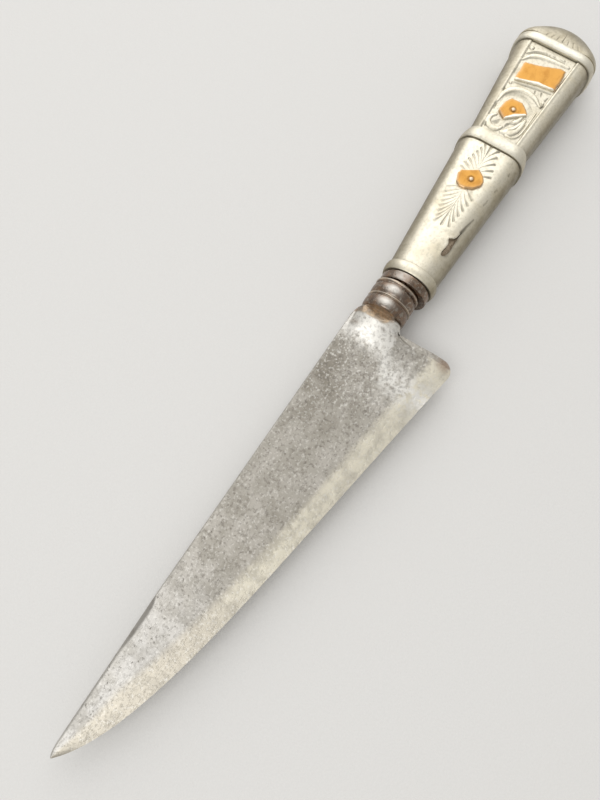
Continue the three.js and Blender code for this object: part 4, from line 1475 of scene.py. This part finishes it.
def pitch(look):
    """Crumbling brown pitch."""
    finish = Finish("cutlers_pitch", look.pitch, metallic=0, rough=0.85)
    clouds = finish.mask("blotches", Size=1.4, Low=0.35, High=0.7, Detail=5)
    grit = finish.mask("pits", Size=0.5, Radius=0.3, Kept=0.5)
    finish.layer(look.pitch_dark, clouds)
    finish.layer(look.rust, grit, amount=0.5)
    finish.roughness(0.7, clouds)
    finish.bump(0.2, clouds)
    finish.bump(0.08, grit)
    return finish.finished()


def floor_paper(look):
    """Plain paper with fine fibres."""
    finish = Finish("floor_paper", look.floor, metallic=0, rough=0.8)
    fibres = finish.mask("blotches", Size=0.6, Low=0.3, High=0.7, Detail=4)
    finish.layer([FIBRE_SHADE * part for part in look.floor], fibres, amount=0.25)
    finish.roughness(0.85, fibres)
    finish.bump(0.02, fibres)
    return finish.finished()


# Properties

def colour_property(name, description, default):
    """A colour that can be set in the panel."""
    return FloatVectorProperty(name=name, description=description, subtype="COLOR", size=3, min=0, max=1,
                               default=default)


def depth_property(name, description, millimetres):
    """A depth or height that can be set in the panel."""
    return FloatProperty(name=name, description=description, unit="LENGTH", default=millimetres * MM, min=0,
                         precision=6)


class KnifeMetals(bpy.types.PropertyGroup):
    """Colours of the knife's metals and pitch."""
    steel: colour_property("Steel", "Grey of the blade's flats", (0.54, 0.51, 0.46))
    pale: colour_property("Pale steel", "Cooler grey near the tip", (0.69, 0.68, 0.66))
    patina: colour_property("Patina", "Darker blotches on the flats", (0.385, 0.36, 0.31))
    shade: colour_property("Shade", "Dark stretch of the flats", (0.27, 0.245, 0.2))
    pit: colour_property("Pits", "Floor of the pits", (0.2, 0.18, 0.155))
    # Also the colour of the painted highlight on the bolster and along the spine
    bright: colour_property("Bright steel", "Scoured and worn steel", (0.82, 0.8, 0.75))
    ground: colour_property("Ground steel", "Bevel along the edge", (0.59, 0.545, 0.455))
    keen: colour_property("Keen steel", "Brighter stretch of the bevel", (0.88, 0.83, 0.69))
    rust: colour_property("Rust", "Rust at the heel and on the bolster", (0.33, 0.21, 0.135))
    brown: colour_property("Brown", "Browned bolster", (0.15, 0.1, 0.07))
    golden: colour_property("Golden rust", "Filed neck and the ridges between the beads", (0.66, 0.51, 0.345))
    deep_brown: colour_property("Deep brown", "Hollows of the bolster", (0.085, 0.055, 0.038))
    nickel: colour_property("Nickel silver", "Clean handle metal", (0.885, 0.83, 0.69))
    nickel_warm: colour_property("Warm nickel silver", "Yellowed patches", (0.79, 0.715, 0.545))
    nickel_dull: colour_property("Dull nickel silver", "Stains", (0.5, 0.47, 0.37))
    # Tarnish, also the colour of the painted shade round the tear and beside the plate
    tarnish_and_shade: colour_property("Tarnish", "Dirt in cuts and joints", (0.075, 0.065, 0.042))
    gilt: colour_property("Gilding", "Gilt ornaments", (0.61, 0.315, 0.075))
    gilt_deep: colour_property("Deep gilding", "Redder patches of gilding", (0.5, 0.22, 0.042))
    gilt_dirt: colour_property("Gilding dirt", "Ring of dirt round each pin", (0.22, 0.11, 0.035))
    # Pale gilding along the edges, also the painted highlight on the edges towards the light and on the pins'
    # crowns
    rubbed_and_highlit: colour_property("Rubbed gilding", "Edges rubbed bright", (0.93, 0.88, 0.76))
    # Colour of the painted shade on the handle's sides, partly soiling
    shade_and_soil: colour_property("Soil", "Grey-brown soiling on the handle's sides", (0.285, 0.24, 0.155))
    # Deeper painted shade, low on the handle's sides
    under: colour_property("Under", "Darkest soiling, low on the handle's sides", (0.15, 0.128, 0.09))
    polished: colour_property("Polished rings", "Whiter metal of the rings", (0.89, 0.86, 0.765))
    pitch: colour_property("Pitch", "Fill seen in the tear", (0.46, 0.37, 0.27))
    pitch_dark: colour_property("Dark pitch", "Hollows of the fill", (0.24, 0.18, 0.125))


class KnifeRelief(bpy.types.PropertyGroup):
    """Depths worked into the surfaces."""
    pit_depth: depth_property("Pit depth", "Depth of the blade's pits", 0.05)
    engraving: depth_property("Engraving", "Depth of the deepest gouge cut", 0.24)
    scrolls: depth_property("Scrolls", "Height of the raised scrolls over their field", 0.42)


class KnifeStage(bpy.types.PropertyGroup):
    """Floor, camera and light."""
    floor: colour_property("Floor", "Colour of the floor", (0.78, 0.77, 0.75))
    camera_place: FloatVectorProperty(
        name="Camera place", description="Where the camera stands", subtype="TRANSLATION", unit="LENGTH",
        default=(-55.96 * MM, -8.29 * MM, 162 * MM))
    camera_turn: FloatVectorProperty(
        name="Camera turn", description="Which way the camera looks", subtype="EULER", unit="ROTATION",
        default=(math.radians(14.63), math.radians(-0.64), math.radians(-57.25)))
    lens: FloatProperty(
        name="Lens", description="Focal length on a 36 mm sensor", unit="CAMERA", default=27)
    key_power: FloatProperty(
        name="Key light", description="Power of the soft light over the spine", unit="POWER", default=3.9)
    fill_power: FloatProperty(
        name="Fill light", description="Power of the soft light over the tip", unit="POWER", default=2.1)
    sky: FloatProperty(
        name="Sky", description="Strength of the even light all round", default=0.52)


# Operators

class KNIFE_OT_forging(bpy.types.Operator):
    """Model the blade, bolster and tang as one pitted forging"""
    bl_idname = "knife.forging"
    bl_label = "Forging"

    def execute(self, context):
        bm = forging_mesh(context.scene.knife_relief.pit_depth / MM)
        add_piece(bm, "pitted_forging", "blade", forged_steel(context.scene.knife_metals))
        return {"FINISHED"}


def handle_metal(context):
    """The nickel silver that all of the handle shares."""
    return bpy.data.materials.get(HANDLE_METAL) or nickel_silver(context.scene.knife_metals)


# Each ring's node and reach, how much painted shade lies on its sides, and how polished it is
RINGS = (
    ("throat_ring", THROAT, 0.9, 0),
    ("middle_band", BAND, 0.6, 0.5),
    ("cap_ring", CAP, 0.5, 1),
)


class KNIFE_OT_rings(bpy.types.Operator):
    """Model the throat ring, the middle band and the cap ring"""
    bl_idname = "knife.rings"
    bl_label = "Rings"

    def execute(self, context):
        for node, span, darkened, polished in RINGS:
            bm = handle_skin(ring_profile(*span), PLAIN_COLUMNS, plain_relief(span), darkened, polished)
            add_piece(bm, "worn_" + node, node, handle_metal(context))
        return {"FINISHED"}


class KNIFE_OT_lower_sleeve(bpy.types.Operator):
    """Model the engraved lower sleeve with its tear"""
    bl_idname = "knife.lower_sleeve"
    bl_label = "Lower sleeve"

    def execute(self, context):
        relief = lower_relief(context.scene.knife_relief.engraving / MM)
        profile = wall(sleeve_rows(*LOWER, LOWER_FINE), LOWER_INSIDE_ROWS)
        bm = handle_skin(profile, ENGRAVED_COLUMNS, relief)
        tear_open(bm)
        add_piece(bm, "engraved_lower_sleeve", "lower_sleeve", handle_metal(context))
        return {"FINISHED"}


class KNIFE_OT_upper_sleeve(bpy.types.Operator):
    """Model the upper sleeve with the scrolls in its sunk field"""
    bl_idname = "knife.upper_sleeve"
    bl_label = "Upper sleeve"

    def execute(self, context):
        relief = upper_relief(context.scene.knife_relief.scrolls / MM)
        bm = handle_skin(wall(sleeve_rows(*UPPER, UPPER_FINE)), ENGRAVED_COLUMNS, relief)
        add_piece(bm, "scrolled_upper_sleeve", "upper_sleeve", handle_metal(context))
        return {"FINISHED"}


class KNIFE_OT_dome(bpy.types.Operator):
    """Model the domed end with its radiating strokes"""
    bl_idname = "knife.dome"
    bl_label = "Dome"

    def execute(self, context):
        bm = dome_mesh(context.scene.knife_relief.engraving / MM)
        add_piece(bm, "engraved_dome", "pommel_dome", handle_metal(context))
        return {"FINISHED"}


class KNIFE_OT_ornaments(bpy.types.Operator):
    """Model the gilt rosettes and plate, and the pins through the rosettes"""
    bl_idname = "knife.ornaments"
    bl_label = "Gilt ornaments"

    def execute(self, context):
        metal = gilt(context.scene.knife_metals)
        for ornament in ORNAMENTS:
            node = ornament["node"]
            add_piece(gilt_mesh(ornament), "hand_cut_" + node, node, metal)
        for ornament in [pinned for pinned in ORNAMENTS if pinned["boss"]]:
            pin = ornament["node"] + "_pin"
            add_piece(pin_mesh(ornament), "domed_" + pin, pin, metal)
        return {"FINISHED"}


class KNIFE_OT_fill(bpy.types.Operator):
    """Give the fill inside the handle its pitch"""
    bl_idname = "knife.fill"
    bl_label = "Fill"

    def execute(self, context):
        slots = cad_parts["handle_fill"].material_slots
        if not slots:
            raise RuntimeError("the handle's fill has no material slot")
        material = pitch(context.scene.knife_metals)
        for slot in slots:
            slot.material = material
        return {"FINISHED"}


# Stage, in metres
FLOOR_HALF = 3
FLOOR_CUTS = 6
KEY_PLACE = (0.58, 0.34, 0.55)
KEY_SIZE = 1.0
FILL_PLACE = (-0.42, 0.1, 0.72)
FILL_SIZE = 0.55
SKY_COLOUR = (1, 0.99, 0.97, 1)
CAMERA_NEAR = 0.01


class KNIFE_OT_stage(bpy.types.Operator):
    """Set out the pale floor, the soft lights and the camera"""
    bl_idname = "knife.stage"
    bl_label = "Stage"

    def execute(self, context):
        look = context.scene.knife_stage
        self.add_floor(context, look)
        self.add_light(context, "key_light", KEY_PLACE, KEY_SIZE, look.key_power)
        self.add_light(context, "fill_light", FILL_PLACE, FILL_SIZE, look.fill_power)
        self.add_sky(context, look)
        self.add_camera(context, look)
        context.scene.view_settings.view_transform = "Standard"
        return {"FINISHED"}

    def add_floor(self, context, look):
        """A wide sheet of paper under the knife."""
        bm = bmesh.new()
        bmesh.ops.create_grid(bm, x_segments=FLOOR_CUTS, y_segments=FLOOR_CUTS, size=FLOOR_HALF)
        mesh = bpy.data.meshes.new("floor")
        bm.to_mesh(mesh)
        bm.free()
        mesh.materials.append(floor_paper(look))
        floor = bpy.data.objects.new("floor", mesh)
        context.scene.collection.objects.link(floor)

    def add_light(self, context, name, place, size, power):
        """A square soft light that faces the middle of the frame."""
        data = bpy.data.lights.new(name, "AREA")
        data.energy = power
        data.size = size
        lamp = bpy.data.objects.new(name, data)
        lamp.location = place
        lamp.rotation_euler = Vector(place).to_track_quat("Z", "Y").to_euler()
        context.scene.collection.objects.link(lamp)

    def add_sky(self, context, look):
        """Even light from all round."""
        world = bpy.data.worlds.new("even_sky")
        world.use_nodes = True
        sky = world.node_tree.nodes["Background"]
        sky.inputs["Color"].default_value = SKY_COLOUR
        sky.inputs["Strength"].default_value = look.sky
        context.scene.world = world

    def add_camera(self, context, look):
        """The camera over the tip and edge."""
        data = bpy.data.cameras.new("camera")
        data.lens = look.lens
        data.clip_start = CAMERA_NEAR
        camera = bpy.data.objects.new("camera", data)
        camera.location = look.camera_place
        camera.rotation_euler = Euler(look.camera_turn)
        context.scene.collection.objects.link(camera)
        context.scene.camera = camera


class KNIFE_PT_panel(bpy.types.Panel):
    """The knife's finishes, depths and making steps"""
    bl_label = "Knife"
    bl_idname = "KNIFE_PT_panel"
    bl_space_type = "VIEW_3D"
    bl_region_type = "UI"
    bl_category = "Knife"

    def draw(self, context):
        for group in (context.scene.knife_metals, context.scene.knife_relief, context.scene.knife_stage):
            box = self.layout.box()
            for name in group.__annotations__:
                box.prop(group, name)
        for operator in OPERATORS:
            self.layout.operator(operator.bl_idname)


OPERATORS = (KNIFE_OT_stage, KNIFE_OT_forging, KNIFE_OT_rings, KNIFE_OT_lower_sleeve, KNIFE_OT_upper_sleeve,
             KNIFE_OT_dome, KNIFE_OT_ornaments, KNIFE_OT_fill)
GROUPS = {"knife_metals": KnifeMetals, "knife_relief": KnifeRelief, "knife_stage": KnifeStage}


def register():
    """Adds the knife's properties, operators and panel."""
    for group in GROUPS.values():
        bpy.utils.register_class(group)
    for name, group in GROUPS.items():
        setattr(bpy.types.Scene, name, PointerProperty(type=group))
    for operator in OPERATORS:
        bpy.utils.register_class(operator)
    bpy.utils.register_class(KNIFE_PT_panel)


def unregister():
    """Takes the knife's panel, operators and properties away again."""
    bpy.utils.unregister_class(KNIFE_PT_panel)
    for operator in reversed(OPERATORS):
        bpy.utils.unregister_class(operator)
    for name in GROUPS:
        delattr(bpy.types.Scene, name)
    for group in reversed(GROUPS.values()):
        bpy.utils.unregister_class(group)


def main():
    """Makes the stage and the whole knife."""
    register()
    bpy.ops.knife.stage()
    bpy.ops.knife.forging()
    bpy.ops.knife.rings()
    bpy.ops.knife.lower_sleeve()
    bpy.ops.knife.upper_sleeve()
    bpy.ops.knife.dome()
    bpy.ops.knife.ornaments()
    bpy.ops.knife.fill()


if __name__ == "__main__":
    main()
